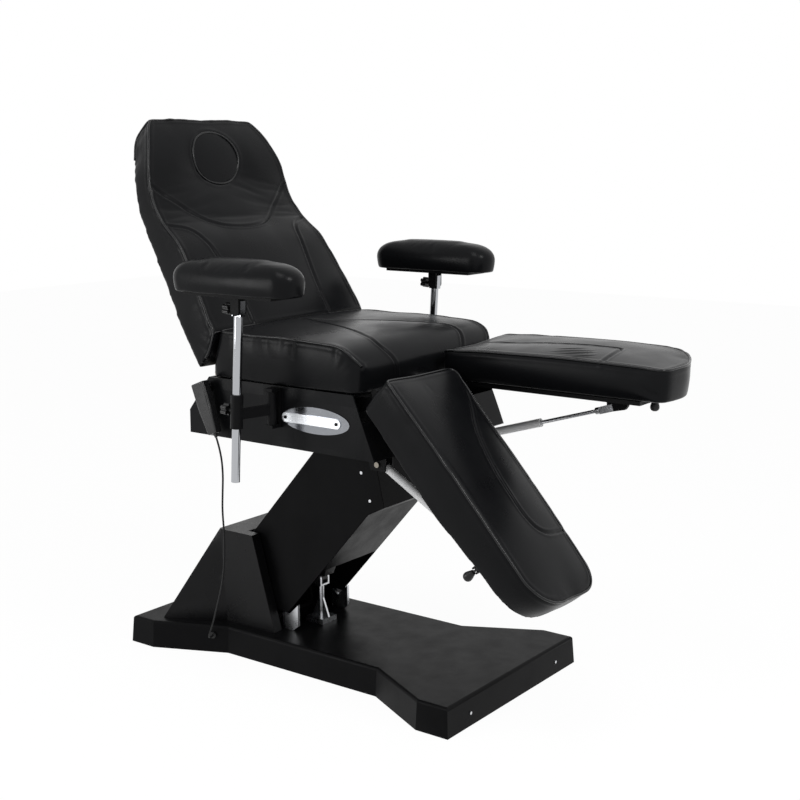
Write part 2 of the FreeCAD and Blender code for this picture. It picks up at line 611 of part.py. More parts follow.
ram_length, ram_angle = span(ram_y, ram_z, pin_y, pin_z)
eye_half = s.fork_gap_half - s.side_play
motor_box = box("gearbox", (-s.motor_radius, s.motor_radius),
                (ram_y - s.ram_tube_start - s.gearbox_height, ram_y - s.ram_tube_start),
                (ram_z - s.motor_radius, ram_z + s.motor_offset + s.motor_radius))
ram_body = join("ram_body_block", [
    rod("ram_foot_eye", s.fork_half_length, (-eye_half, ram_y, ram_z), eye_half * 2),
    box("ram_foot_neck", (-eye_half, eye_half),
        (ram_y - s.ram_tube_start - s.run_gap, ram_y),
        (ram_z - s.fork_half_length / 2, ram_z + s.fork_half_length / 2)),
    motor_box,
    rod("ram_tube", s.ram_tube_radius, (0, ram_y - s.ram_tube_start, ram_z),
        s.ram_tube_length, (0, -1, 0)),
    rod("ram_motor", s.motor_radius, (0, ram_y - s.ram_tube_start, ram_z + s.motor_offset),
        s.motor_length, (0, -1, 0))])
ram_bores = [
    rod("ram_foot_hole", s.ram_pin_radius + s.run_gap, (-s.overrun, ram_y, ram_z),
        s.overrun * 2),
    rod("ram_barrel", s.ram_rod_radius + s.face_gap,
        (0, ram_y - s.ram_tube_start - s.gearbox_height / 2, ram_z),
        s.ram_tube_length, (0, -1, 0))]
keep(swing(cut("ram_body", ram_body, ram_bores), -ram_angle, ram_y, ram_z),
     "lift_actuator_body")
rod_start = ram_length - s.ram_tube_length - s.ram_tube_start * 3 / 2
ram_rod = join("ram_rod_block", [
    rod("ram_rod", s.ram_rod_radius, (0, ram_y - rod_start, ram_z),
        ram_length - rod_start - s.ram_eye_radius + s.ram_rod_radius / 2, (0, -1, 0)),
    cut("ram_eye", rod("ram_eye_disc", s.ram_eye_radius,
                       (-s.ram_eye_thick / 2, ram_y - ram_length, ram_z), s.ram_eye_thick),
        [rod("ram_eye_bore", s.ram_eye_hole,
             (-s.overrun, ram_y - ram_length, ram_z), s.overrun * 2)])])
keep(swing(ram_rod, -ram_angle, ram_y, ram_z), "lift_actuator_rod")

# LIFT: levelling link, parallel to the arm so that the seat stays level
link_y = s.lower_pivot_y
link_z = s.lower_pivot_z - s.link_offset
link_low = s.link_outer - s.link_thick
link_bar = join("link_block", [
    side_plate("link_bar", [
        (link_y, link_z - s.link_half_height), (link_y, link_z + s.link_half_height),
        (link_y - s.arm_reach, link_z + s.upper_pivot_rise + s.link_half_height),
        (link_y - s.arm_reach, link_z + s.upper_pivot_rise - s.link_half_height)],
        link_low, s.link_thick),
    rod("link_low_eye", s.link_half_height * 9 / 8, (link_low, link_y, link_z),
        s.link_thick),
    rod("link_high_eye", s.link_half_height * 9 / 8,
        (link_low, link_y - s.arm_reach, link_z + s.upper_pivot_rise), s.link_thick)])
link_bores = [
    rod("link_low_bore", s.link_pin_radius + s.run_gap, (s.link_offset, link_y, link_z),
        s.lug_outer),
    rod("link_high_bore", s.link_pin_radius + s.link_eye_gap,
        (s.link_offset, link_y - s.arm_reach, link_z + s.upper_pivot_rise), s.lug_outer)]
keep(swing(cut("link", link_bar, link_bores), -s.arm_angle, link_y, link_z),
     "levelling_link")

# Bright stops either side of the arm's lower end, and the grommet of the handset's cord.
stops = []
for side, sign in SIDES:
    low = s.stop_outer - s.stop_thick if sign > 0 else -s.stop_outer
    stops.append(side_plate("stop_" + side, [
        (s.stop_rear_y, deck), (s.stop_rear_y, deck + s.stop_low),
        (s.stop_rear_y - s.stop_step * 3 / 2, deck + s.stop_low - s.stop_step),
        (s.stop_front_y, deck + s.stop_high), (s.stop_front_y, deck + s.stop_step),
        (s.stop_rear_y - s.stop_notch, deck)], low, s.stop_thick))
keep(group("stops", stops), "foot_brackets")

# SEAT BODY: frame, hinge ears, spring hangers and lift lugs
frame_top = s.seat_bottom - s.board_thick - s.face_gap * 2
rail_low = frame_top - s.rail_height
plate_low = frame_top - s.frame_skin
seat_pivot_y = s.lower_pivot_y - s.arm_reach * cosine(s.arm_angle) \
    + s.upper_pivot_rise * sine(s.arm_angle)
seat_pivot_z = s.lower_pivot_z + s.arm_reach * sine(s.arm_angle) \
    + s.upper_pivot_rise * cosine(s.arm_angle)
back_y = s.back_hinge_y
back_z = s.back_hinge_z
leg_y = s.leg_hinge_y
leg_z = s.leg_hinge_z
frame_items = [box("frame_skin", (-s.rail_outer, s.rail_outer),
                   (s.frame_front_y, s.frame_rear_y), (plate_low, frame_top))]
frame_bores = [
    rod("seat_pin_bore", s.pivot_pin_radius + s.run_gap,
        (-s.beam_outer, seat_pivot_y, seat_pivot_z), s.beam_outer * 2)]
for side, sign in SIDES:
    rail = s.rail_inner if sign > 0 else -s.rail_outer
    frame_items.append(box("rail_" + side, (rail, rail + s.rail_outer - s.rail_inner),
                           (s.frame_front_y, s.frame_rear_y), (rail_low, plate_low)))
    lug = s.lug_outer - s.lug_thick if sign > 0 else -s.lug_outer
    frame_items.append(side_plate("seat_lug_" + side, [
        (seat_pivot_y + s.lug_half_length, plate_low + s.run_gap),
        (seat_pivot_y - s.lug_half_length, plate_low + s.run_gap),
        (seat_pivot_y - s.lug_head_radius, seat_pivot_z),
        (seat_pivot_y - s.link_half_height, seat_pivot_z - s.link_offset),
        (seat_pivot_y + s.link_half_height, seat_pivot_z - s.link_offset),
        (seat_pivot_y + s.lug_head_radius, seat_pivot_z)], lug, s.lug_thick))
    frame_items.append(rod("seat_lug_toe", s.link_half_height,
                           (lug, seat_pivot_y, seat_pivot_z - s.link_offset), s.lug_thick))
    # Ears for the backrest hinge, tied to the rail by a short block.
    ear = s.hinge_ear_x if sign > 0 else -s.hinge_ear_x - s.hinge_ear_thick
    inner = s.rail_outer if sign > 0 else -s.hinge_ear_x
    frame_items.append(box("ear_block", (inner, inner + s.hinge_ear_x - s.rail_outer),
                           (s.frame_rear_y - s.rail_height, s.frame_rear_y),
                           (rail_low, frame_top)))
    frame_items.append(side_plate("back_ear_" + side, [
        (s.frame_rear_y - s.rail_height, rail_low), (s.frame_rear_y, rail_low),
        (back_y + s.hinge_ear_radius, back_z), (back_y - s.hinge_ear_radius, back_z),
        (s.frame_rear_y - s.hinge_ear_radius, frame_top),
        (s.frame_rear_y - s.rail_height, frame_top)], ear, s.hinge_ear_thick))
    frame_items.append(rod("back_ear_head", s.hinge_ear_radius, (ear, back_y, back_z),
                           s.hinge_ear_thick))
    frame_bores.append(rod("back_ear_bore", s.hinge_bolt_radius + s.run_gap,
                           (ear - s.overrun, back_y, back_z),
                           s.hinge_ear_thick + s.overrun * 2))
    # Ears for the leg rest hinge, below the front of the seat.
    for place in (s.leg_ear_near, s.leg_ear_far):
        low = (place if sign > 0 else -place) - s.leg_ear_thick / 2
        frame_items.append(side_plate("leg_ear", [
            (s.frame_front_y, rail_low), (s.frame_front_y - s.rail_height * 3 / 5,
                                          rail_low + s.leg_knuckle_radius),
            (leg_y - s.leg_knuckle_radius, leg_z), (leg_y + s.leg_knuckle_radius, leg_z),
            (leg_y + s.leg_knuckle_radius * 3 / 2, leg_z - s.leg_knuckle_radius),
            (s.frame_front_y - s.leg_knuckle_radius * 2, frame_top),
            (s.frame_front_y, frame_top)], low, s.leg_ear_thick))
        frame_items.append(rod("leg_knuckle", s.leg_knuckle_radius, (low, leg_y, leg_z),
                               s.leg_ear_thick))
        frame_bores.append(rod("leg_knuckle_bore", s.leg_pin_radius + s.run_gap,
                               (low - s.overrun, leg_y, leg_z),
                               s.leg_ear_thick + s.overrun * 2))
    # Hangers for the gas spring.
    for low in (rail, rail + s.rail_outer - s.rail_inner - s.clevis_thick):
        frame_items.append(side_plate("hanger", [
            (s.frame_front_y, rail_low + s.face_gap), (s.spring_foot_y - s.clevis_length / 2,
                                                       s.spring_foot_z + s.clevis_foot * 2),
            (s.spring_foot_y - s.clevis_length / 2, s.spring_foot_z - s.clevis_foot),
            (s.spring_foot_y + s.clevis_length / 2, s.spring_foot_z - s.clevis_foot),
            (s.frame_front_y + s.clevis_length, rail_low + s.face_gap)],
            low, s.clevis_thick))
        frame_items.append(box("hanger_root", (low, low + s.clevis_thick),
                               (s.frame_front_y, s.frame_front_y + s.clevis_length),
                               (rail_low - s.overrun / 2, rail_low + s.overrun / 2)))
# Crossbar that carries the outer leg ears, and the foot of the back actuator.
bar_half = s.leg_ear_far + s.leg_ear_thick
frame_items.append(box("front_crossbar", (-bar_half, bar_half),
                       (s.frame_front_y, s.frame_front_y + s.overrun),
                       (rail_low, frame_top)))
tilt_half = s.tilt_eye_thick / 2 + s.side_play / 2
for low in (s.tilt_x - tilt_half - s.tilt_lug_thick, s.tilt_x + tilt_half):
    frame_items.append(side_plate("tilt_foot", [
        (s.tilt_foot_y - s.tilt_eye_radius, s.tilt_foot_z),
        (s.tilt_foot_y, s.tilt_foot_z - s.tilt_eye_radius),
        (s.tilt_foot_y + s.tilt_eye_radius, s.tilt_foot_z),
        (s.tilt_foot_y + s.tilt_eye_radius, frame_top - s.frame_skin),
        (s.tilt_foot_y - s.tilt_eye_radius, frame_top - s.frame_skin)],
        low, s.tilt_lug_thick))
frame_items.append(box("tilt_shelf", (s.rail_outer - s.frame_skin,
                                      s.tilt_x + tilt_half + s.tilt_lug_thick),
                       (s.tilt_foot_y - s.tilt_eye_radius, s.tilt_foot_y + s.tilt_eye_radius),
                       (plate_low - s.frame_skin, plate_low)))
frame_items.append(rod("tilt_foot_pin", s.tilt_pin_radius,
                       (s.tilt_x - tilt_half - s.tilt_lug_thick, s.tilt_foot_y,
                        s.tilt_foot_z), (tilt_half + s.tilt_lug_thick) * 2))
frame_items.append(rod("seat_link_stud", s.link_pin_radius,
                       (s.link_offset, seat_pivot_y, seat_pivot_z - s.link_offset),
                       s.lug_outer - s.link_offset))
keep(cut("seat_frame_bored", join("seat_frame_block", frame_items), frame_bores),
     "seat_frame")
keep(rod("lift_pin_high", s.pivot_pin_radius, (-s.beam_outer, seat_pivot_y, seat_pivot_z),
         s.beam_outer * 2), "lift_pin_upper")

# Pins of the leg rest hinges, one through each pair of ears.
pins = []
for side, sign in SIDES:
    for place in (s.leg_ear_near, s.leg_ear_far):
        low = (place if sign > 0 else -place) - s.leg_ear_thick * 3 / 2 - s.side_play
        pins.append(rod("leg_pin", s.leg_pin_radius, (low, leg_y, leg_z),
                        s.leg_ear_thick * 3 + s.side_play * 2))
keep(group("leg_pins", pins), "leg_hinge_pins")

# Bolts: backrest hinge and foot of each gas spring.
bolts = []
for side, sign in SIDES:
    inner = s.hinge_ear_x - s.hinge_ear_thick * 5 / 4
    length = s.hinge_ear_thick * 9 / 4 + s.hinge_head_height
    bolts.append(join("hinge_bolt", [
        rod("hinge_shank", s.hinge_bolt_radius, (inner * sign, back_y, back_z), length,
            (sign, 0, 0)),
        rod("hinge_bolt_head", s.hinge_head_radius,
            ((s.hinge_ear_x + s.hinge_ear_thick) * sign, back_y, back_z),
            s.hinge_head_height, (sign, 0, 0))]))
    for edge, way in ((s.rail_inner, -1), (s.rail_outer, 1)):
        bolts.append(rod("spring_bolt_head", s.bolt_head_radius,
                         (edge * sign, s.spring_foot_y, s.spring_foot_z),
                         s.bolt_head_height, (way * sign, 0, 0)))
keep(group("bolts", bolts), "frame_bolts")

# Skirt: open box that hangs from the edges of the seat board.
skirt_top = s.seat_bottom - s.face_gap
skirt = doc.addObject("PartDesign::Body", "skirt")
skirt_pad = skirt.newObject("PartDesign::Pad", "skirt_pad")
skirt_pad.Profile = sketch(skirt, "YZ_Plane", "skirt_outline", [
    (s.skirt_rear_top_y, skirt_top), (s.skirt_bend_y, s.skirt_bend_z),
    (s.skirt_rear_y, s.skirt_rear_z), (s.skirt_rear_y, s.skirt_bottom),
    (s.skirt_front_y, s.skirt_bottom), (s.skirt_front_top_y, skirt_top)],
    -s.skirt_half_width)
bind(skirt_pad, "Length", s.skirt_half_width * 2)
doc.recompute()
ends = []
for i, face in enumerate(skirt_pad.Shape.Faces, 1):
    if abs(face.normalAt(0, 0).z) > 0.99:
        ends.append("Face%d" % i)
skirt_wall = skirt.newObject("PartDesign::Thickness", "skirt_wall")
skirt_wall.Base = (skirt_pad, ends)
skirt_wall.Reversed = True
skirt_wall.Join = 1
bind(skirt_wall, "Value", s.skirt_wall)
inside = s.skirt_half_width - s.skirt_wall
front_end = s.frame_front_y - s.overrun / 2
window = sketch(skirt, "XZ_Plane", "front_window", [
    (-inside, s.skirt_window_z), (inside, s.skirt_window_z),
    (inside, skirt_top + s.overrun), (-inside, skirt_top + s.overrun)], -front_end)
pocket(skirt, "front_cut", window, s.overrun * 4, backwards=True)
for sign in (-1, 1):
    mouth = s.spring_tube_radius * 3 / 2
    notch = sketch(skirt, "XZ_Plane", "spring_notch", [
        (s.spring_x * sign - mouth, s.skirt_bottom - s.overrun),
        (s.spring_x * sign + mouth, s.skirt_bottom - s.overrun),
        (s.spring_x * sign + mouth, s.skirt_bottom + mouth),
        (s.spring_x * sign - mouth, s.skirt_bottom + mouth)], -front_end)
    pocket(skirt, "notch_cut", notch, s.overrun * 5, backwards=True)
    low = s.hinge_ear_x - s.hinge_ear_thick * 3 / 2 - s.side_play * 2
    high = s.tilt_x + tilt_half + s.tilt_lug_thick + s.side_play * 4
    if sign < 0:
        high = s.hinge_ear_x + s.hinge_ear_thick + s.hinge_head_height + s.side_play * 3
    rear = sketch(skirt, "XZ_Plane", "rear_window", [
        (low * sign, s.skirt_bend_z - s.overrun * 3 if sign > 0 else
         s.skirt_bend_z - s.side_play * 2), (high * sign, s.skirt_bend_z - s.overrun * 3
                                             if sign > 0 else
                                             s.skirt_bend_z - s.side_play * 2),
        (high * sign, skirt_top + s.overrun), (low * sign, skirt_top + s.overrun)],
        -s.skirt_rear_top_y + s.overrun)
    pocket(skirt, "rear_cut", rear, s.overrun * 5)
keep(skirt, "skirt_cover")

# Oval plates with a plain bar and two screws, one on each side of the skirt.
ovals = []
plate_bars = []
plate_screws = []
for side, sign in SIDES:
    turn = Placement(Vector(sign * s.skirt_half_width.value, s.oval_y.value, s.oval_z.value),
                     Rotation(Vector(0, 0, 1), Vector(sign, 0, 0)))
    curve = Part.Ellipse(Vector(0, 0, 0), s.oval_half_length.value, s.oval_half_height.value)
    flat = Part.Face(Part.Wire([curve.toShape()]))
    flat.rotate(Vector(0, 0, 0), Vector(0, 0, 1), 90)
    ovals.append(feature("oval_" + side, flat.extrude(Vector(0, 0, s.oval_thick.value))))
    ovals[-1].Placement = turn
    face = (s.skirt_half_width + s.oval_thick) * sign
    low = face if sign > 0 else face - s.bar_thick
    reach = s.bar_half_length - s.bar_half_height
    bar_y = s.oval_y + s.bar_shift
    bar = [box("bar_body", (low, low + s.bar_thick), (bar_y - reach, bar_y + reach),
               (s.oval_z - s.bar_half_height, s.oval_z + s.bar_half_height))]
    for end in (-1, 1):
        bar.append(rod("bar_end", s.bar_half_height, (low, bar_y + reach * end, s.oval_z),
                       s.bar_thick))
        outer = face + s.bar_thick * sign
        plate_screws.append(rod("bar_screw", s.bar_screw_radius,
                                (outer, bar_y + reach * end, s.oval_z),
                                s.bar_screw_height, (sign, 0, 0)))
    plate_bars.append(join("bar_" + side, bar))
keep(group("ovals", ovals), "oval_plates")
keep(group("bars", plate_bars), "plate_bars")
keep(group("bar_screws", plate_screws), "plate_screws")

# SEAT: board and cushion
board_low = frame_top + s.face_gap
keep(box("seat_board", (-inside + s.face_gap, inside - s.face_gap),
         (s.frame_front_y - s.side_play * 5, s.board_rear_y),
         (board_low, board_low + s.board_thick)), "seat_board")


def bowed(points, bows):
    """Closed level or upright wire: each side an arc that bows out by its own amount."""
    middle = sum(points, Vector(0, 0, 0)) / len(points)
    edges = []
    for i, (start, bow) in enumerate(zip(points, bows)):
        end = points[(i + 1) % len(points)]
        if not bow:
            edges.append(Part.LineSegment(start, end).toShape())
            continue
        half = (start + end) / 2
        along = (end - start).normalize()
        out = half - middle
        out = (out - along * out.dot(along)).normalize()
        edges.append(Part.Arc(start, half + out * bow, end).toShape())
    return Part.Wire(edges)



def half_outline(half, middle_bow, ends_bow):
    """Closed outline from its +X half. Each entry holds x, y, z and the bow of the side
    that follows it; the last side crosses the middle line, and so does the closing one."""
    points = [Vector(x, y, z) for x, y, z, _ in half]
    points += [Vector(-p.x, p.y, p.z) for p in reversed(points)]
    bows = [bow for _, _, _, bow in half[:-1]]
    return bowed(points, bows + [middle_bow] + bows[::-1] + [ends_bow])


def number(name):
    """Plain value of a size, for shapes that are drawn from points."""
    return getattr(s, name).value


round_share = 1 - cos(radians(45))
quarter_bow = (1 / cos(radians(45)) - 1) / 2
overrun = number("overrun")

# Seat cushion: drawn-in sides and a crowned top with a rounded front.
levels = []
bottom = number("seat_bottom")
top = number("seat_top")
pull = number("seat_pull_in")
lean_shares = ((0, 1, 0, 1), (0.45, 0, 0.26, 0), (1, 0.1, 1, 0.1), (1.4, 0.3, 1.4, 0.3))
for rise_share, side_share, rear_share, front_share in lean_shares:
    z = bottom + (top - bottom) * rise_share
    w = number("seat_half_width") - pull * side_share
    f = number("seat_front_y") + pull * front_share
    r = number("seat_rear_y") - number("seat_rear_round") * rear_share
    c = number("seat_corner")
    d = number("seat_rear_round")
    levels.append(half_outline([
        (w - c, f, z, c * round_share), (w, f + c, z, pull / 2),
        (w, r - d, z, d * round_share), (w - d, r, z, 0)], 0, pull / 2))
sides = Part.makeLoft(levels, True)
profiles = []
for x_share, crown_share in ((-1, 0), (0, 1), (1, 0)):
    x = (number("seat_half_width") + overrun) * x_share
    crown = number("seat_crown") * crown_share
    f = number("seat_front_y")
    r = number("seat_rear_y") + overrun
    drop = number("seat_front_drop")
    nose = number("seat_front_round")
    profiles.append(bowed([
        Vector(x, f - overrun, bottom - overrun), Vector(x, r, bottom - overrun),
        Vector(x, r, top - pull * 2 + crown / 2), Vector(x, f + nose, top + crown),
        Vector(x, f - pull, top - drop * 2)],
        [0, 0, pull * 2, hypot(nose, drop * 2 + crown) * quarter_bow, 0]))
cushion = sides.common(Part.makeLoft(profiles, True))
keep(feature("seat_pad", cushion), "seat_cushion")

# BACKREST, built lying flat behind its hinge and then raised
flat_y = number("back_hinge_y")
flat_z = number("back_hinge_z")
levels = []
pull = number("back_pull_in")
face = number("back_face")
side_rows = ((-0.2, 1), (0.45, 0), (1, 0), (1.4, 0.6))
for out_share, pull_share in side_rows:
    z = flat_z + face * out_share
    p = pull * pull_share
    crest = number("back_crest_width")
    neck = number("back_neck_width")
    shoulder = number("back_shoulder_width")
    head = number("head_along")
    levels.append(half_outline([
        (number("back_half_width") - p, flat_y - overrun, z, 0),
        (number("back_half_width") - p, flat_y + face, z, -pull / 5),
        (shoulder - p, flat_y + number("shoulder_along"), z, 0),
        (neck - p, flat_y + number("neck_along") + face * 2 / 5, z, pull * 7 / 5),
        ((neck * 3 + crest) / 4 - pull * 2 - p, flat_y + head + pull * 3, z, pull),
        (crest - pull - p, flat_y + number("back_length") + pull / 2 - p, z, 0)],
        pull, 0))
sides = Part.makeLoft(levels, True)
profiles = []
for x_share, crown_share in ((-1, 0), (0, 1), (1, 0)):
    x = (number("back_half_width") + overrun) * x_share
    up = number("back_crown") * crown_share
    foot_y = flat_y + number("back_foot_along")
    low = flat_z + number("back_rear_low")
    lip = flat_y + number("back_lip_along")
    high = flat_z + face + up
    dip = number("neck_dip")
    long_end = flat_y + number("back_length")
    profiles.append(bowed([
        Vector(x, foot_y, low), Vector(x, lip, high),
        Vector(x, flat_y + number("shoulder_along") + overrun, high),
        Vector(x, flat_y + number("shoulder_along") + overrun * 7 / 2, high - dip * 0.4),
        Vector(x, flat_y + number("neck_along") + overrun * 9 / 2, high - dip * 0.4),
        Vector(x, long_end, high), Vector(x, flat_y + number("back_crest_along"),
                                          flat_z + number("back_rear_high")),
        Vector(x, flat_y + number("back_rear_high_along"),
               flat_z + number("back_rear_high") - pull),
        Vector(x, flat_y + number("back_rear_mid_along"), flat_z + number("back_rear_mid")),
        Vector(x, flat_y + number("back_rear_mid_along") - overrun * 2, low)],
        [pull, pull / 2, pull / 4, -dip * 0.6, pull * 2, 0, 0, 0, 0, 0]))
cushion = sides.common(Part.makeLoft(profiles, True))


def oval(across, along, height, z_low):
    """Upright oval block on the middle line of the lying backrest."""
    curve = Part.Ellipse(Vector(0, 0, 0), max(across, along), min(across, along))
    flat = Part.Face(Part.Wire([curve.toShape()]))
    if along > across:
        flat.rotate(Vector(0, 0, 0), Vector(0, 0, 1), 90)
    flat.translate(Vector(0, flat_y + number("plug_along"), z_low))
    return flat.extrude(Vector(0, 0, height))


plug_low = flat_z + face + number("back_crown") - number("plug_depth")
gap = number("plug_gap")
cushion = cushion.cut(oval(number("plug_half_across") + gap, number("plug_half_along") + gap,
                           number("plug_travel"), plug_low))
keep(swing(feature("back_pad", cushion), s.back_recline, s.back_hinge_y, s.back_hinge_z),
     "back_cushion")
plug = oval(number("plug_half_across"), number("plug_half_along"), number("plug_travel"),
            plug_low + number("face_gap"))
ball_radius = number("plug_half_along") * 3
crest_z = flat_z + face + number("back_crown") + number("plug_proud")
plug = plug.common(Part.makeSphere(ball_radius, Vector(
    0, flat_y + number("plug_along"), crest_z - ball_radius)))
keep(swing(feature("plug", plug), s.back_recline, s.back_hinge_y, s.back_hinge_z),
     "face_plug")

# Frame of the backrest: board behind the cushion, hinge ears and the actuator's horn.
board_z = back_z + s.back_rear_low - s.face_gap
ear_low = s.hinge_ear_x - s.side_play - s.hinge_ear_thick
root_y = back_y + s.back_foot_along * 5
horn_y = back_y + (s.tilt_horn_y - back_y) * cosine(s.back_recline) \
    + (s.tilt_horn_z - back_z) * sine(s.back_recline)
horn_z = back_z - (s.tilt_horn_y - back_y) * sine(s.back_recline) \
    + (s.tilt_horn_z - back_z) * cosine(s.back_recline)
tilt_far = s.tilt_x + tilt_half + s.tilt_lug_thick
frame_items = [
    box("back_board", (-s.back_frame_half, s.back_frame_half),
        (root_y, back_y + s.back_frame_length), (board_z - s.back_frame_thick, board_z)),
    box("back_crossbar", (-s.hinge_ear_x + s.side_play, tilt_far),
        (root_y, root_y + s.back_frame_thick * 3), (board_z - s.back_frame_thick, board_z))]
frame_bores = []
for side, sign in SIDES:
    low = ear_low if sign > 0 else -s.hinge_ear_x + s.side_play
    frame_items.append(side_plate("back_lug", [
        (back_y, back_z - s.hinge_ear_radius * 7 / 8),
        (root_y + s.back_frame_thick, board_z - s.back_frame_thick),
        (root_y + s.back_frame_thick, board_z - s.run_gap),
        (back_y + s.back_foot_along, board_z - s.run_gap),
        (back_y - s.hinge_ear_radius / 4, back_z + s.hinge_ear_radius * 7 / 8)],
        low, s.hinge_ear_thick))
    frame_items.append(rod("back_lug_head", s.hinge_ear_radius, (low, back_y, back_z),
                           s.hinge_ear_thick))
    frame_bores.append(rod("back_lug_bore", s.hinge_bolt_radius + s.run_gap,
                           (low - s.overrun, back_y, back_z),
                           s.hinge_ear_thick + s.overrun * 2))
horn_half = s.tilt_eye_radius - s.side_play
for low, way in ((s.tilt_x - tilt_half - s.tilt_lug_thick, -1), (s.tilt_x + tilt_half, 1)):
    frame_items.append(side_plate("horn", [
        (horn_y, horn_z - horn_half), (back_y, back_z - horn_half),
        (root_y + s.back_frame_thick, board_z - s.back_frame_thick),
        (root_y + s.back_frame_thick, board_z - s.run_gap), (back_y, back_z + horn_half),
        (horn_y, horn_z + horn_half)], low, s.tilt_lug_thick))
    frame_items.append(rod("horn_end", horn_half, (low, horn_y, horn_z), s.tilt_lug_thick))
    face_x = s.tilt_x + (tilt_half + s.tilt_lug_thick) * way
    frame_items.append(rod("horn_bolt", s.tilt_pin_radius * 3 / 2, (face_x, horn_y, horn_z),
                           s.tilt_pin_radius, (way, 0, 0)))
keep(swing(cut("back_frame_bored", join("back_frame_block", frame_items), frame_bores),
           s.back_recline, back_y, back_z), "back_frame")

# Actuator of the backrest, built level towards the rear.
tilt_y = s.tilt_foot_y
tilt_z = s.tilt_foot_z
tilt_length, tilt_angle = span(s.tilt_horn_y, tilt_z, tilt_y, s.tilt_horn_z)
tilt_body = join("tilt_body_block", [
    rod("tilt_eye", s.tilt_eye_radius, (s.tilt_x - s.tilt_eye_thick / 2, tilt_y, tilt_z),
        s.tilt_eye_thick),
    rod("tilt_tube", s.tilt_tube_radius, (s.tilt_x, tilt_y + s.overrun, tilt_z),
        s.tilt_tube_length, (0, 1, 0)),
    box("tilt_neck", (s.tilt_x - s.tilt_eye_thick / 2, s.tilt_x + s.tilt_eye_thick / 2),
        (tilt_y, tilt_y + s.overrun * 3 / 2),
        (tilt_z - s.tilt_rod_radius, tilt_z + s.tilt_rod_radius))])
tilt_bores = [
    rod("tilt_hole", s.tilt_pin_radius + s.run_gap,
        (s.tilt_x - s.overrun, tilt_y, tilt_z), s.overrun * 2),
    rod("tilt_barrel", s.tilt_rod_radius + s.face_gap,
        (s.tilt_x, tilt_y + s.overrun * 2, tilt_z), s.tilt_tube_length, (0, 1, 0))]
keep(swing(cut("tilt_body", tilt_body, tilt_bores), tilt_angle, tilt_y, tilt_z),
     "back_actuator_body")
tilt_start = tilt_length - s.tilt_tube_length - s.overrun * 3
tilt_rod = join("tilt_rod_block", [
    rod("tilt_rod", s.tilt_rod_radius, (s.tilt_x, tilt_y + tilt_start, tilt_z),
        tilt_length - tilt_start - s.tilt_eye_radius / 2, (0, 1, 0)),
    rod("tilt_end", s.tilt_eye_radius, (s.tilt_x - s.tilt_eye_thick / 2,
                                        tilt_y + tilt_length, tilt_z), s.tilt_eye_thick)])
keep(swing(tilt_rod, tilt_angle, tilt_y, tilt_z), "back_actuator_rod")

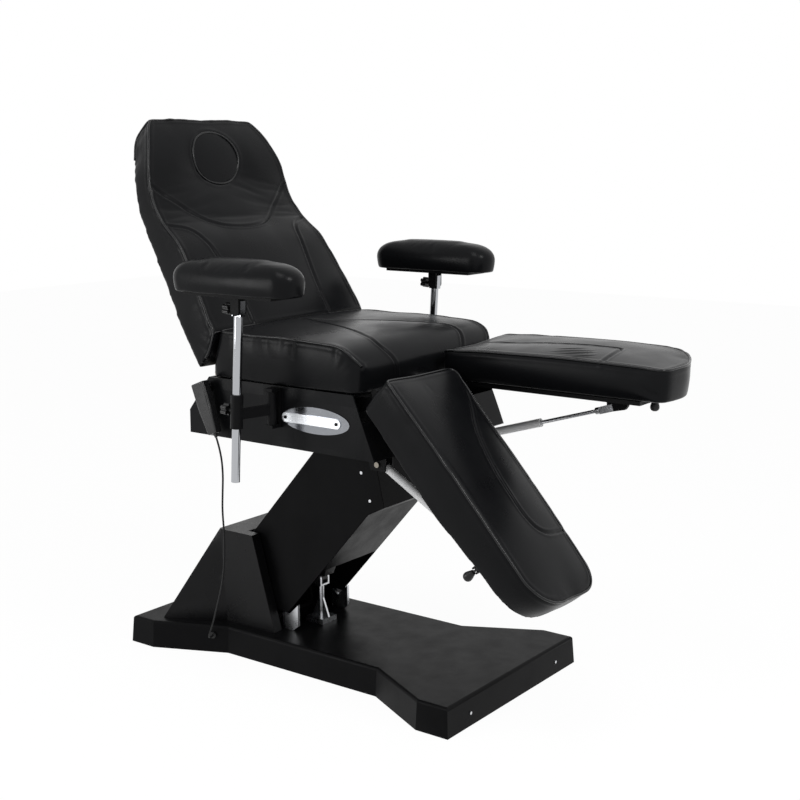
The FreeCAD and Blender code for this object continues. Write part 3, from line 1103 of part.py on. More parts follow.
# LEG RESTS, built level from their hinge; the near one is then let down
cushion_low = leg_z - s.leg_under
pan_top = cushion_low - s.face_gap
pan_low = pan_top - s.leg_pan_thick
head_y = leg_y - s.spring_head_back
head_z = leg_z - s.spring_head_drop
for side, sign in SIDES:
    drop = s.leg_drop if sign < 0 else 0

    def lowered(item):
        return swing(item, s.leg_drop, leg_y, leg_z) if sign < 0 else item

    def across(low, high):
        return (low, high) if sign > 0 else (-high, -low)

    # Cushion: drawn-in sides, rounded rear edge and foot corners, domed top, and a lip that
    # covers the edge of the pan along the outer side.
    levels = []
    base_z = cushion_low.value
    top_z = base_z + number("leg_thick")
    rear = leg_y.value - number("leg_rear_gap")
    toe = rear - number("leg_length")
    pull = number("leg_pull_in")
    small = number("leg_corner")
    toe_round = number("leg_toe_round")
    big = number("leg_foot_round")
    rim_z = base_z - number("leg_lip_drop")
    for z, pull_share in ((rim_z, 1.2), (base_z, 1), ((base_z + top_z) / 2, 0), (top_z, 0.1),
                          (top_z + (top_z - base_z) / 2, 0.6)):
        p = pull * pull_share
        a = number("leg_inner_x") + p
        b = number("leg_outer_x") - p
        rows = [(a + small, rear - p, round_share * small), (a, rear - p - small, 0),
                (a, toe + p + toe_round, round_share * toe_round),
                (a + toe_round, toe + p, pull / 2),
                (b - big, toe + p, round_share * big), (b, toe + p + big, pull / 2),
                (b, rear - p - small, round_share * small), (b - small, rear - p, 0)]
        levels.append(bowed([Vector(x * sign, y, z) for x, y, _ in rows],
                            [bow for _, _, bow in rows]))
    sides = Part.makeLoft(levels, True)
    profiles = []
    for x_share, crown_share in ((0, 0.1), (0.5, 1), (1, 0.1)):
        low_x = number("leg_inner_x") - overrun
        x = low_x + (number("leg_outer_x") + overrun - low_x) * x_share
        crown = number("leg_crown") * crown_share
        curve = number("leg_rear_round")
        profiles.append(bowed([
            Vector(x * sign, rear + overrun, rim_z - overrun),
            Vector(x * sign, rear + overrun, top_z - curve),
            Vector(x * sign, rear - curve, top_z), Vector(x * sign, toe - overrun, top_z),
            Vector(x * sign, toe - overrun, rim_z - overrun)],
            [0, hypot(curve + overrun, curve) * quarter_bow, crown, 0, 0]))
    pad_shape = sides.common(Part.makeLoft(profiles, True))
    rear_y = leg_y - s.leg_rear_gap
    lip_y = rear_y - s.leg_lip_length
    toe_y = rear_y - s.leg_length - s.overrun
    under_z = cushion_low - s.leg_lip_drop - s.overrun
    lip_in = across(s.leg_inner_x - s.overrun, s.leg_outer_x - s.leg_lip_width)
    lip_out = across(s.leg_inner_x - s.overrun, s.leg_outer_x + s.overrun)
    recess = [
        box("pan_recess", lip_in, (toe_y, rear_y + s.overrun), (under_z, cushion_low)),
        side_plate("lip_end", [(lip_y, under_z), (lip_y, cushion_low - s.leg_lip_drop),
                               (lip_y - s.leg_lip_run, cushion_low), (toe_y, cushion_low),
                               (toe_y, under_z)], lip_out[0], lip_out[1] - lip_out[0])]
    cushion = cut("leg_cushion_cut_" + side, feature("leg_pad_" + side, pad_shape), recess)
    keep(lowered(cushion), "leg_cushion_" + side)

    # Frame: pan, hinge ears, spring tongue and the clevis of the release lever.
    items = [box("leg_pan", across(s.leg_inner_x + s.leg_pan_inset,
                                   s.leg_outer_x - s.leg_pan_inset),
                 (leg_y - s.leg_length + s.leg_foot_round / 2,
                  leg_y - s.leg_rear_gap - s.leg_under), (pan_low, pan_top))]
    cuts = []
    for place in (s.leg_ear_near, s.leg_ear_far):
        for way in (-1, 1):
            low = (place if sign > 0 else -place) - s.leg_ear_thick / 2 \
                + (s.leg_ear_thick + s.side_play) * way
            items.append(side_plate("leg_lug", [
                (leg_y, leg_z - s.leg_knuckle_radius),
                (leg_y - s.leg_knuckle_radius, leg_z),
                (leg_y - s.leg_rear_gap + s.side_play, pan_top),
                (leg_y - s.leg_rear_gap * 4, pan_top - s.side_play),
                (leg_y - s.leg_rear_gap * 4, pan_low + s.side_play),
                (leg_y - s.leg_rear_gap * 3 / 2, pan_low - s.leg_under)],
                low, s.leg_ear_thick))
            items.append(rod("leg_lug_head", s.leg_knuckle_radius, (low, leg_y, leg_z),
                             s.leg_ear_thick))
        low = (place if sign > 0 else -place) - s.overrun
        cuts.append(rod("leg_lug_bore", s.leg_pin_radius + s.run_gap, (low, leg_y, leg_z),
                        s.overrun * 2))
    low, high = across(s.spring_x - s.tongue_half, s.spring_x + s.tongue_half)
    items.append(side_plate("tongue", [
        (head_y + s.tongue_round * 3 / 2, pan_low + s.side_play),
        (head_y + s.tongue_round, head_z), (head_y, head_z - s.tongue_round),
        (head_y - s.tongue_length * 3 / 5, head_z),
        (head_y - s.tongue_length * 7 / 10, head_z + s.tongue_round),
        (head_y - s.tongue_length * 7 / 10, pan_low + s.side_play)], low, s.tongue_half * 2))
    cuts.append(rod("tongue_bore", s.spring_pin_radius + s.run_gap,
                    (s.spring_x * sign - s.overrun, head_y, head_z), s.overrun * 2))
    lever_y = leg_y - s.lever_back
    lever_z = pan_low - s.lever_plate * 3 / 4
    for way in (-1, 1):
        near_y = lever_y + (s.lever_plate_thick + s.side_play) * way
        pair = (near_y, near_y + s.lever_plate_thick) if way > 0 else \
            (near_y - s.lever_plate_thick, near_y)
        items.append(box("lever_cheek", across(s.lever_x - s.lever_plate / 2,
                                               s.lever_x + s.lever_plate / 2 - s.side_play * 2),
                         pair, (pan_low - s.lever_plate * 5 / 4, pan_low + s.side_play)))
    cuts.append(rod("lever_bore", s.lever_rod_radius + s.run_gap,
                    (s.lever_x * sign, lever_y - s.overrun, lever_z), s.overrun * 2,
                    (0, 1, 0)))
    keep(lowered(cut("leg_frame_" + side, join("leg_frame_block", items), cuts)),
         "leg_frame_" + side)

    # Release lever with its teardrop knob.
    pin_half = s.lever_plate_thick * 2 + s.side_play
    knob_z = lever_z - s.lever_rod_length
    lever = join("lever_" + side, [
        rod("lever_pin", s.lever_rod_radius, (s.lever_x * sign, lever_y - pin_half, lever_z),
            pin_half * 2, (0, 1, 0)),
        rod("lever_hub", s.lever_rod_radius * 5 / 3,
            (s.lever_x * sign, lever_y - s.lever_plate_thick, lever_z),
            s.lever_plate_thick * 2, (0, 1, 0)),
        rod("lever_rod", s.lever_rod_radius, (s.lever_x * sign, lever_y, knob_z),
            s.lever_rod_length, (0, 0, 1)),
        taper("lever_knob", s.lever_knob_radius, s.lever_neck_radius,
              (s.lever_x * sign, lever_y, knob_z - s.lever_knob_length * 2 / 3),
              s.lever_knob_length * 2 / 3),
        taper("lever_tip", s.lever_neck_radius, s.lever_knob_radius,
              (s.lever_x * sign, lever_y, knob_z - s.lever_knob_length),
              s.lever_knob_length / 3)])
    keep(lowered(group("lever_set_" + side, [lever])), "release_lever_" + side)

    # Gas spring between the seat's hanger and the tongue.
    foot_y = s.spring_foot_y
    foot_z = s.spring_foot_z
    if sign < 0:
        foot_y = leg_y + (s.spring_foot_y - leg_y) * cosine(s.leg_drop) \
            + (s.spring_foot_z - leg_z) * sine(s.leg_drop)
        foot_z = leg_z - (s.spring_foot_y - leg_y) * sine(s.leg_drop) \
            + (s.spring_foot_z - leg_z) * cosine(s.leg_drop)
    length, angle = span(foot_y, foot_z, head_y, head_z)
    x = s.spring_x * sign
    items = []
    for low in (-s.spring_fork_gap - s.spring_fork_thick, s.spring_fork_gap):
        items.append(box("fork_side", (x + low, x + low + s.spring_fork_thick),
                         (head_y - s.spring_fork_half, head_y + s.spring_fork_length),
                         (head_z - s.spring_fork_half, head_z + s.spring_fork_half)))
    fork_half = s.spring_fork_gap + s.spring_fork_thick
    items.append(box("fork_root", (x - fork_half, x + fork_half),
                     (head_y + s.spring_fork_length * 2 / 3, head_y + s.spring_fork_length),
                     (head_z - s.spring_fork_half, head_z + s.spring_fork_half)))
    items.append(rod("fork_bolt", s.spring_pin_radius, (x - fork_half - s.side_play * 2,
                                                        head_y, head_z),
                     (fork_half + s.side_play * 2) * 2))
    items.append(rod("spring_nut", s.spring_nut_radius,
                     (x, head_y + s.spring_fork_length, head_z), s.spring_nut_length,
                     (0, 1, 0)))
    items.append(rod("spring_rod", s.spring_rod_radius,
                     (x, head_y + s.spring_fork_length, head_z), s.spring_tube_length - s.overrun,
                     (0, 1, 0)))
    shaft = swing(join("spring_shaft_" + side, items), -angle, head_y, head_z)
    keep(lowered(group("spring_rod_set_" + side, [shaft])), "spring_rod_" + side)
    items = [
        rod("spring_eye", s.spring_eye_radius, (x - s.spring_eye_thick / 2, foot_y, foot_z),
            s.spring_eye_thick),
        rod("spring_stub", s.spring_bolt_radius,
            (x - s.clevis_inner + s.side_play, foot_y, foot_z),
            (s.clevis_inner - s.side_play) * 2),
        rod("spring_neck", s.spring_eye_radius * 2 / 3, (x, foot_y, foot_z),
            s.spring_tube_start + s.side_play, (0, -1, 0)),
        rod("spring_case", s.spring_tube_radius, (x, foot_y - s.spring_tube_start, foot_z),
            s.spring_tube_length, (0, -1, 0))]
    barrel = rod("spring_barrel", s.spring_rod_radius + s.face_gap,
                 (x, foot_y - s.spring_tube_start - s.spring_rod_radius * 2, foot_z),
                 s.spring_tube_length, (0, -1, 0))
    case = swing(cut("spring_body_" + side, join("spring_block_" + side, items), [barrel]),
                 -angle, foot_y, foot_z)
    keep(lowered(group("spring_tube_set_" + side, [case])), "spring_tube_" + side)

# ARMRESTS: bracket on the skirt, swinging arm, sliding post and tilting pad
brackets = []
lean = s.post_lean
for side, sign in SIDES:
    def across(low, high):
        return (low, high) if sign > 0 else (-high, -low)

    pin_x = s.swing_x * sign
    tab_out = s.swing_x + s.swing_boss_radius
    tab_y = (s.swing_y - s.swing_boss_radius, s.swing_y + s.swing_boss_radius)
    brackets.append(join("bracket_" + side, [
        box("bracket_plate", across(s.skirt_half_width, s.skirt_half_width + s.bracket_thick),
            (s.swing_y - s.bracket_half, s.swing_y + s.bracket_half),
            (s.bracket_low, s.bracket_high)),
        box("bracket_tab", across(s.skirt_half_width, tab_out), tab_y,
            (s.bracket_high - s.bracket_lip, s.bracket_high)),
        box("bracket_shelf", across(s.skirt_half_width, tab_out), tab_y,
            (s.bracket_low, s.bracket_low + s.bracket_lip)),
        rod("bracket_pin", s.swing_pin_radius, (pin_x, s.swing_y, s.bracket_low),
            s.bracket_high - s.bracket_low, (0, 0, 1))]))

    # Arm: boss on the pin, flat bar and the leaning sleeve of the post.
    axis_y = s.post_foot_y - (s.sleeve_low + s.sleeve_length / 2) * sine(lean)
    reach_x = s.post_x - s.swing_x
    reach_y = axis_y - s.swing_y
    reach = Size(hypot(reach_x.value, reach_y.value),
                 "hypot(%s; %s)" % (reach_x.text, reach_y.text))
    turn = Size(degrees(atan2(reach_y.value, reach_x.value)),
                "atan2(%s; %s)" % (reach_y.text, reach_x.text))
    boss_low = s.bracket_low + s.bracket_lip + s.side_play
    boss_high = s.bracket_high - s.bracket_lip - s.side_play
    bar_low = s.swing_low
    bar_x = across(s.swing_x, s.swing_x + reach)
    bar = box("arm_bar", bar_x, (s.swing_y - s.arm_bar_thick / 2,
                                 s.swing_y + s.arm_bar_thick / 2),
              (bar_low, bar_low + s.arm_bar_height))
    bar = swing(group("arm_bar_set", [bar]), turn if sign > 0 else -turn, s.swing_y, 0,
                "0; 0; 1", pin_x)
    foot = (s.post_x * sign, s.post_foot_y, s.post_foot_z)
    sleeve = rod("sleeve_" + side, s.sleeve_radius,
                 (foot[0], foot[1], foot[2] + s.sleeve_low), s.sleeve_length, (0, 0, 1))
    sleeve = swing(group("sleeve_set", [sleeve]), lean, foot[1], foot[2])
    post_bore = rod("post_bore", s.post_radius_arm + s.face_gap, foot, s.post_length,
                    (0, 0, 1))
    post_bore = swing(group("post_bore_set", [post_bore]), lean, foot[1], foot[2])
    boss = rod("arm_boss", s.swing_boss_radius, (pin_x, s.swing_y, boss_low),
               boss_high - boss_low, (0, 0, 1))
    knob_z = foot[2] + s.sleeve_low + s.sleeve_length / 2
    stem_bore = rod("sleeve_bore", s.knob_stem_radius + s.run_gap,
                    (foot[0], foot[1] + s.post_radius_arm, knob_z), s.overrun, (0, 1, 0))
    stem_bore = swing(group("sleeve_bore_set", [stem_bore]), lean, foot[1], foot[2])
    boss_bore = rod("boss_bore", s.swing_pin_radius + s.run_gap,
                    (pin_x, s.swing_y, s.bracket_low), s.bracket_high - s.bracket_low,
                    (0, 0, 1))
    keep(cut("armrest_arm_" + side, join("arm_block_" + side, [boss, bar, sleeve]),
             [boss_bore, post_bore, stem_bore]), "armrest_arm_" + side)

    # Post: bright tube with a flattened head that the pad tilts on.
    top_z = foot[2] + s.post_length
    pivot_z = top_z - s.tilt_pivot_drop
    head_half = s.ear_gap_half - s.side_play
    post = join("post_block_" + side, [
        rod("post_bar", s.post_radius_arm, foot,
            s.post_length - s.head_block_height + s.run_gap, (0, 0, 1)),
        box("post_head", (foot[0] - head_half, foot[0] + head_half),
            (foot[1] - s.head_block_half, foot[1] + s.head_block_half),
            (top_z - s.head_block_height, top_z))])
    post = cut("post_bored_" + side, post, [
        rod("post_pivot_bore", s.knob_stem_radius + s.run_gap,
            (foot[0] - s.overrun, foot[1], pivot_z), s.overrun * 2),
        rod("post_knob_bore", s.knob_stem_radius + s.run_gap,
            (foot[0], foot[1] + s.head_block_half / 2, pivot_z), s.overrun, (0, 1, 0))])
    keep(swing(post, lean, foot[1], foot[2]), "armrest_post_" + side)

    # Star knobs: one clamps the post in its sleeve, one the pad's tilt.
    def star(name, y, z, stem):
        radius = s.knob_radius - s.knob_lobe_radius
        pieces = [rod("knob_stem", s.knob_stem_radius, (foot[0], y, z), stem + s.run_gap,
                      (0, 1, 0)),
                  rod("knob_core", radius, (foot[0], y + stem, z), s.knob_length, (0, 1, 0))]
        for turn_share in range(int(number("knob_lobes"))):
            angle = radians(360 * turn_share / number("knob_lobes"))
            pieces.append(rod("knob_lobe", s.knob_lobe_radius,
                              (foot[0] + radius * round(cos(angle), 6), y + stem,
                               z + radius * round(sin(angle), 6)), s.knob_length, (0, 1, 0)))
        return swing(group(name + "_set", [join(name, pieces)]), lean, foot[1], foot[2])

    keep(star("sleeve_star_" + side, foot[1] + s.post_radius_arm + s.side_play, knob_z,
              s.knob_stem_length), "sleeve_knob_" + side)
    keep(star("tilt_star_" + side, foot[1] + s.head_block_half / 2 + s.side_play, pivot_z,
              s.knob_stem_length + s.side_play * 3), "tilt_knob_" + side)

    # Bracket under the pad, hung on the head of the post.
    pivot_y = foot[1] - (s.post_length - s.tilt_pivot_drop) * sine(lean)
    pivot_h = foot[2] + (s.post_length - s.tilt_pivot_drop) * cosine(lean)
    pad_low = pivot_h + s.pad_rise
    pad_middle = pivot_y + s.pad_shift
    board_top = pad_low - s.face_gap
    ears = [box("pad_plate", across(s.post_x - s.pad_width / 2 + s.pad_board_inset,
                                    s.post_x + s.pad_width / 2 - s.pad_board_inset),
                (pad_middle - s.pad_length / 2 + s.pad_end_round,
                 pad_middle + s.pad_length / 2 - s.pad_end_round),
                (board_top - s.pad_board_thick, board_top))]
    for low in (-s.ear_gap_half - s.ear_thick, s.ear_gap_half):
        ears.append(box("pad_ear", (foot[0] + low, foot[0] + low + s.ear_thick),
                        (pivot_y - s.ear_half, pivot_y + s.ear_half),
                        (pivot_h, board_top - s.pad_board_thick / 2)))
        ears.append(rod("pad_ear_end", s.ear_half, (foot[0] + low, pivot_y, pivot_h),
                        s.ear_thick))
    ears.append(rod("pad_pin", s.knob_stem_radius,
                    (foot[0] - s.ear_gap_half - s.ear_thick, pivot_y, pivot_h),
                    (s.ear_gap_half + s.ear_thick) * 2))
    keep(join("pad_bracket_block_" + side, ears), "pad_bracket_" + side)

    # Pad: flat underside, upright rim and a top that is domed both across and along.
    levels = []
    low_z = pad_low.value
    rim = number("pad_thick")
    dome = number("pad_crown")
    bulge = number("pad_bulge")
    sections = [(0, 0.94, 0.98), (rim * 0.6, 1, 1)]
    for share in (0.3, 0.6, 0.82, 0.96):
        sections.append((rim + dome * share, (1 - share ** 2.2) ** (1 / 2.2),
                         (1 - share ** 2.8) ** (1 / 2.8)))
    for height, across_share, along_share in sections:
        w = number("pad_width") / 2 * across_share - bulge
        half = number("pad_length") / 2 * along_share
        c = min(number("pad_end_round"), w * 0.9)
        mid = pad_middle.value
        rows = [(w - c, mid - half, c * round_share), (w, mid - half + c, bulge),
                (w, mid + half - c, c * round_share), (w - c, mid + half, c * 0.02)]
        mirror = [(-x, y, 0) for x, y, _ in reversed(rows)]
        outline_points = [Vector(number("post_x") * sign + x, y, low_z + height)
                          for x, y, _ in rows + mirror]
        bows = [row[2] for row in rows]
        levels.append(bowed(outline_points,
                            bows[:3] + [c * 0.02] + bows[2::-1] + [c * 0.02]))
    keep(feature("arm_pad_shape_" + side, Part.makeLoft(levels, True)), "arm_pad_" + side)
keep(group("bracket_pair", brackets), "armrest_brackets")

# HANDSET on its hook, with two keys on the face towards the chair
face_x = -s.skirt_half_width - s.handset_out
top_z = s.handset_z + s.handset_length / 2
low_z = s.handset_z - s.handset_length / 2
handset = side_plate("handset_shell", [
    (s.handset_y - s.handset_width / 3, low_z), (s.handset_y + s.handset_width / 3, low_z),
    (s.handset_y + s.handset_width / 2, s.handset_z),
    (s.handset_y + s.handset_width / 2, top_z), (s.handset_y - s.handset_width / 2, top_z),
    (s.handset_y - s.handset_width / 2, s.handset_z)],
    face_x - s.handset_thick, s.handset_thick)
round_edges(handset, "handset_round", s.handset_edge, lambda edge: True)
relief = taper("relief", s.relief_radius, s.relief_tip_radius,
               (face_x - s.handset_thick / 2, s.handset_y, low_z + s.handset_edge / 2),
               s.relief_length, (0, 0, -1))
keys = []
recesses = []
for name, way in (("lift", 1), ("back", -1)):
    key_z = s.handset_z + s.key_pitch * way
    half_y = s.key_width / 2
    half_z = s.key_height / 2
    recesses.append(box("key_recess", (face_x - s.key_depth - s.key_travel - s.key_gap,
                                       face_x + s.overrun),
                        (s.handset_y - half_y - s.key_gap, s.handset_y + half_y + s.key_gap),
                        (key_z - half_z - s.key_gap, key_z + half_z + s.key_gap)))
    keys.append((name, box("key", (face_x - s.key_depth, face_x + s.key_proud),
                           (s.handset_y - half_y, s.handset_y + half_y),
                           (key_z - half_z, key_z + half_z))))
tilt = -s.handset_tilt
shell = cut("handset_cut", join("handset_block", [handset, relief]), recesses)
keep(swing(shell, tilt, s.handset_y, s.handset_z), "handset_body")
for name, key in keys:
    keep(swing(group("key_set_" + name, [key]), tilt, s.handset_y, s.handset_z),
         "handset_key_" + name)
hook_z = s.handset_z + s.hook_rise
hook_y = s.handset_y + s.hook_rise * tangent(s.handset_tilt)
hook = join("hook", [
    box("hook_plate", (-s.skirt_half_width - s.hook_thick, -s.skirt_half_width),
        (hook_y - s.hook_width / 2, hook_y + s.hook_width / 2),
        (hook_z - s.hook_height / 2, hook_z + s.hook_height / 2)),
    box("hook_peg", (face_x + s.face_gap, -s.skirt_half_width),
        (hook_y - s.hook_width / 2, hook_y + s.hook_width / 2),
        (hook_z - s.hook_thick, hook_z + s.hook_thick))])
keep(group("hook_set", [hook]), "handset_hook")

# CORD of the handset: straight runs joined by arcs, from the relief down to the grommet.
CORD_POINTS = (
    (-318, 168.2, 642.36), (-318, 154.3, 607), (-316, 150, 553), (-312, 157, 501),
    (-309, 163, 449), (-307, 161, 397), (-305, 163, 345), (-302, 169, 293),
    (-297, 182, 243), (-289, 203, 197), (-279, 226, 154), (-267, 249, 112),
    (-259.8, 281.4, 50), (-221.53, 298.64, 50),
)
BEND_SHARE = 0.45


def rounded_path(points):
    """Straight runs joined by tangent arcs, each as large as its shorter run allows."""
    ends = [points[0]]
    edges = []
    for before, corner, after in zip(points, points[1:], points[2:]):
        back = before - corner
        ahead = after - corner
        turn = radians(180) - back.getAngle(ahead)
        cut_back = BEND_SHARE * min(back.Length, ahead.Length)
        radius = cut_back / tan(turn / 2)
        print("cord bend radius", round(radius, 1))
        first = corner + back.normalize() * cut_back
        last = corner + ahead.normalize() * cut_back
        centre_way = (back + ahead).normalize()
        centre = corner + centre_way * hypot(radius, cut_back)
        middle = centre - centre_way * radius
        edges.append(Part.LineSegment(ends[-1], first).toShape())
        edges.append(Part.Arc(first, middle, last).toShape())
        ends.append(last)
    edges.append(Part.LineSegment(ends[-1], points[-1]).toShape())
    return Part.Wire(edges)


cord_points = [Vector(*point) for point in CORD_POINTS]
path = rounded_path(cord_points)
ring = Part.Wire(Part.Circle(cord_points[0], cord_points[1] - cord_points[0],
                             number("cord_diameter") / 2).toShape())
cord = path.makePipeShell([ring], True, True)
print("cord length", round(path.Length, 1), "volume share",
      round(cord.Volume / (path.Length * radians(180) * (number("cord_diameter") / 2) ** 2), 3))
keep(feature("cord_tube", cord), "handset_cord")

# CHECK AND EXPORT
doc.recompute()
for item in doc.Objects:
    faults = [state for state in item.State if state not in ("Up-to-date", "Touched")]
    if faults:
        raise RuntimeError("%s is %s" % (item.Label, faults))
    shape = getattr(item, "Shape", None)
    if shape is not None and not item.isDerivedFrom("App::OriginFeature"):
        if shape.isNull() or not shape.isValid():
            raise RuntimeError("%s has no valid shape" % item.Label)
os.makedirs("parts", exist_ok=True)
for item in parts:
    item.Shape.exportStep("parts/%s.step" % item.Label)
    print(item.Label, len(item.Shape.Solids), round(item.Shape.Volume / 1000, 2))
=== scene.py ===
import bpy
import bmesh
import numpy as np
from math import cos, exp, pi, radians, sin
from mathutils import Matrix, Vector, noise
from mathutils.bvhtree import BVHTree


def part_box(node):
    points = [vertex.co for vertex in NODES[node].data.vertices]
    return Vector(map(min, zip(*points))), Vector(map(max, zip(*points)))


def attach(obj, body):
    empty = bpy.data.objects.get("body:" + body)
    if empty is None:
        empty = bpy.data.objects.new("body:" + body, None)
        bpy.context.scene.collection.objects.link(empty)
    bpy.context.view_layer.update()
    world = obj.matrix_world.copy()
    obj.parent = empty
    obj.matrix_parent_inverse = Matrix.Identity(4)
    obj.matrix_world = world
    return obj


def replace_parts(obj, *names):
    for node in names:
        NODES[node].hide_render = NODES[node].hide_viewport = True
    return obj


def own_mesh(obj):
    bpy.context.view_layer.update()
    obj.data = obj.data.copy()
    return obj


# Dressing of the tattoo chair. Metres, +Z up, the sitter faces -Y, near side is -X.
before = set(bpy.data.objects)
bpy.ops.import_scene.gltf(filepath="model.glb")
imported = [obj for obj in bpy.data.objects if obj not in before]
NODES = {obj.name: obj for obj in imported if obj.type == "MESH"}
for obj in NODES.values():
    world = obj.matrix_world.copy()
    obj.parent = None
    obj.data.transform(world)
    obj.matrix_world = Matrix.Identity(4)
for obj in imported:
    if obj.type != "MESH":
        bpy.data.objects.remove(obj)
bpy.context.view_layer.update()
scene = bpy.context.scene


# VIEWPOINT
# The camera stands where the photographer stood: in front of the chair, on its near side and
# a little above the seat, with a short telephoto lens.
SENSOR_WIDTH = 36
FOCAL_LENGTH = 60.27
EYE = (-2.754, -2.216, 1.364)
YAW, PITCH, ROLL = 36.406, -10.461, 0.123
lens = bpy.data.cameras.new("camera")
lens.sensor_width = SENSOR_WIDTH
lens.lens = FOCAL_LENGTH
camera = bpy.data.objects.new("camera", lens)
scene.collection.objects.link(camera)
camera.location = EYE
yaw, pitch, roll = radians(YAW), radians(PITCH), radians(ROLL)
look = Vector((cos(pitch) * cos(yaw), cos(pitch) * sin(yaw), sin(pitch)))
camera.rotation_euler = (look.to_track_quat("-Z", "Y").to_matrix()
                         @ Matrix.Rotation(-roll, 3, "Z")).to_euler()
scene.camera = camera


# BASE
# A waisted cover in black laminate over a steel plate, with eased edges. It is screwed on
# from its rim, carries the whole chair and rests flat on the floor.
class Field:
    """A value that varies over a surface. Sums and products add the nodes for them."""

    def __init__(self, graph, socket):
        self.graph = graph
        self.socket = socket

    def _math(self, operation, *values):
        return self.graph.node("ShaderNodeMath", values, operation=operation)

    def __add__(self, other):
        return self._math("ADD", self, other)

    def __sub__(self, other):
        return self._math("SUBTRACT", self, other)

    def __mul__(self, other):
        return self._math("MULTIPLY", self, other)

    def __rsub__(self, other):
        return self._math("SUBTRACT", other, self)

    __radd__ = __add__
    __rmul__ = __mul__

    def most(self, other):
        return self._math("MAXIMUM", self, other)


class Graph:
    """A node tree that is filled by expressions on its fields."""

    def __init__(self, tree):
        self.tree = tree

    def node(self, kind, inputs=(), output=0, **settings):
        """Adds any node and returns one of its outputs. Inputs go by number or by name."""
        made = self.tree.nodes.new(kind)
        for key, value in settings.items():
            setattr(made, key, value)
        pairs = inputs.items() if isinstance(inputs, dict) else enumerate(inputs)
        for key, value in pairs:
            if isinstance(value, Field):
                self.tree.links.new(value.socket, made.inputs[key])
            else:
                made.inputs[key].default_value = value
        return Field(self, made.outputs[output])

    def seen(self):
        """1 for what the lens, a mirror or a clear piece looks at, and 0 for soft light."""
        flags = [self.node("ShaderNodeLightPath", output=name) for name in
                 ("Is Camera Ray", "Is Glossy Ray", "Is Transmission Ray")]
        return flags[0].most(flags[1]).most(flags[2])


NOISE_LOW, NOISE_HIGH = 0.3, 0.7


class Paint(Graph):
    """A procedural material around the standard shader."""

    def __init__(self, name, color, roughness, metallic=0.0, gloss=0.5):
        self.material = bpy.data.materials.new(name)
        self.material.use_nodes = True
        super().__init__(self.material.node_tree)
        self.shader = self.tree.nodes["Principled BSDF"]
        for key, value in (("Base Color", (*color, 1)), ("Roughness", roughness),
                           ("Metallic", metallic), ("Specular IOR Level", gloss)):
            self.shader.inputs[key].default_value = value
        self.place = self.node("ShaderNodeTexCoord", output="Object")

    def stretched(self, x, y, z):
        return self.node("ShaderNodeMapping", {"Vector": self.place, "Scale": (x, y, z)})

    def noise(self, scale, detail=3.0, roughness=0.5, at=None):
        return self.node("ShaderNodeTexNoise", {
            "Vector": at or self.place, "Scale": scale, "Detail": detail,
            "Roughness": roughness}, output="Fac")

    def span(self, field, low, high):
        """Spreads the middle values of a noise from low to high."""
        return self.node("ShaderNodeMapRange", (field, NOISE_LOW, NOISE_HIGH, low, high))

    def blend(self, field, first, second):
        """A colour between two, by a field from 0 to 1."""
        return self.node("ShaderNodeMix", {0: field, 6: (*first, 1), 7: (*second, 1)}, 2,
                         data_type="RGBA")

    def feed(self, **fields):
        for key, field in fields.items():
            self.tree.links.new(field.socket, self.shader.inputs[key.replace("_", " ")])

    def emboss(self, height, distance, strength):
        self.feed(Normal=self.node("ShaderNodeBump", {
            "Height": height, "Distance": distance, "Strength": strength}))


HAZE_SCALE = 14
GRAIN_SCALE = 1400
SHINIER, DULLER = 0.06, 0.08
PALER_SHARE = 1.35
HAZE_RELIEF_SHARE = 0.2
GRAIN_DEPTH, GRAIN_STRENGTH = 0.002, 0.5
DRAWN_SCALE = 260
PLATING_SCALE = 22
DRAWN_SHARE = 0.6
DRAWN_DEPTH, DRAWN_STRENGTH = 0.0004, 0.25
MIRROR_ROUGHNESS = 0.02


def moulding(name, color, roughness, gloss=0.2, grain=0.12):
    """Moulded plastic, laminate or powder coat with a fine texture and a soft sheen."""
    paint = Paint(name, color, roughness, gloss=gloss)
    haze = paint.noise(HAZE_SCALE, 4.0, 0.6)
    paint.feed(Roughness=paint.span(haze, roughness - SHINIER, roughness + DULLER),
               Base_Color=paint.blend(paint.span(haze, 0, 1), color,
                                      [min(c * PALER_SHARE, 1) for c in color]))
    paint.emboss(paint.noise(GRAIN_SCALE, 2.0) * grain + haze * HAZE_RELIEF_SHARE,
                 GRAIN_DEPTH, GRAIN_STRENGTH)
    return paint.material


def metal(name, color, roughness, lines=(1, 1, 1), marks=0.08):
    """Metal with the faint lines that drawing, brushing or plating leaves."""
    paint = Paint(name, color, roughness, metallic=1.0)
    drawn = paint.noise(DRAWN_SCALE, 3.0, 0.6, at=paint.stretched(*lines))
    plated = paint.noise(PLATING_SCALE, 3.0)
    paint.feed(Roughness=paint.span(drawn * DRAWN_SHARE + plated * (1 - DRAWN_SHARE),
                                    max(roughness - marks, MIRROR_ROUGHNESS),
                                    roughness + marks))
    paint.emboss(drawn, DRAWN_DEPTH, DRAWN_STRENGTH)
    return paint.material


def dress(finish, *nodes):
    """Gives the frame's own pieces their finish."""
    for node in nodes:
        slots = NODES[node].data.materials
        if not slots:
            slots.append(finish)
        for i in range(len(slots)):
            slots[i] = finish


def piece(name, mesh, body, finish):
    """New object that rides on a body."""
    item = bpy.data.objects.new(name, mesh)
    scene.collection.objects.link(item)
    item.data.materials.clear()
    item.data.materials.append(finish)
    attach(item, body)
    return item


MERGE_DISTANCE = 2e-5
COPLANAR = radians(1)
EDGE_SEGMENTS = 3


def merged(node):
    """The frame's mesh of a node with its split vertices joined."""
    made = bmesh.new()
    made.from_mesh(NODES[node].data)
    bmesh.ops.remove_doubles(made, verts=made.verts[:], dist=MERGE_DISTANCE)
    return made


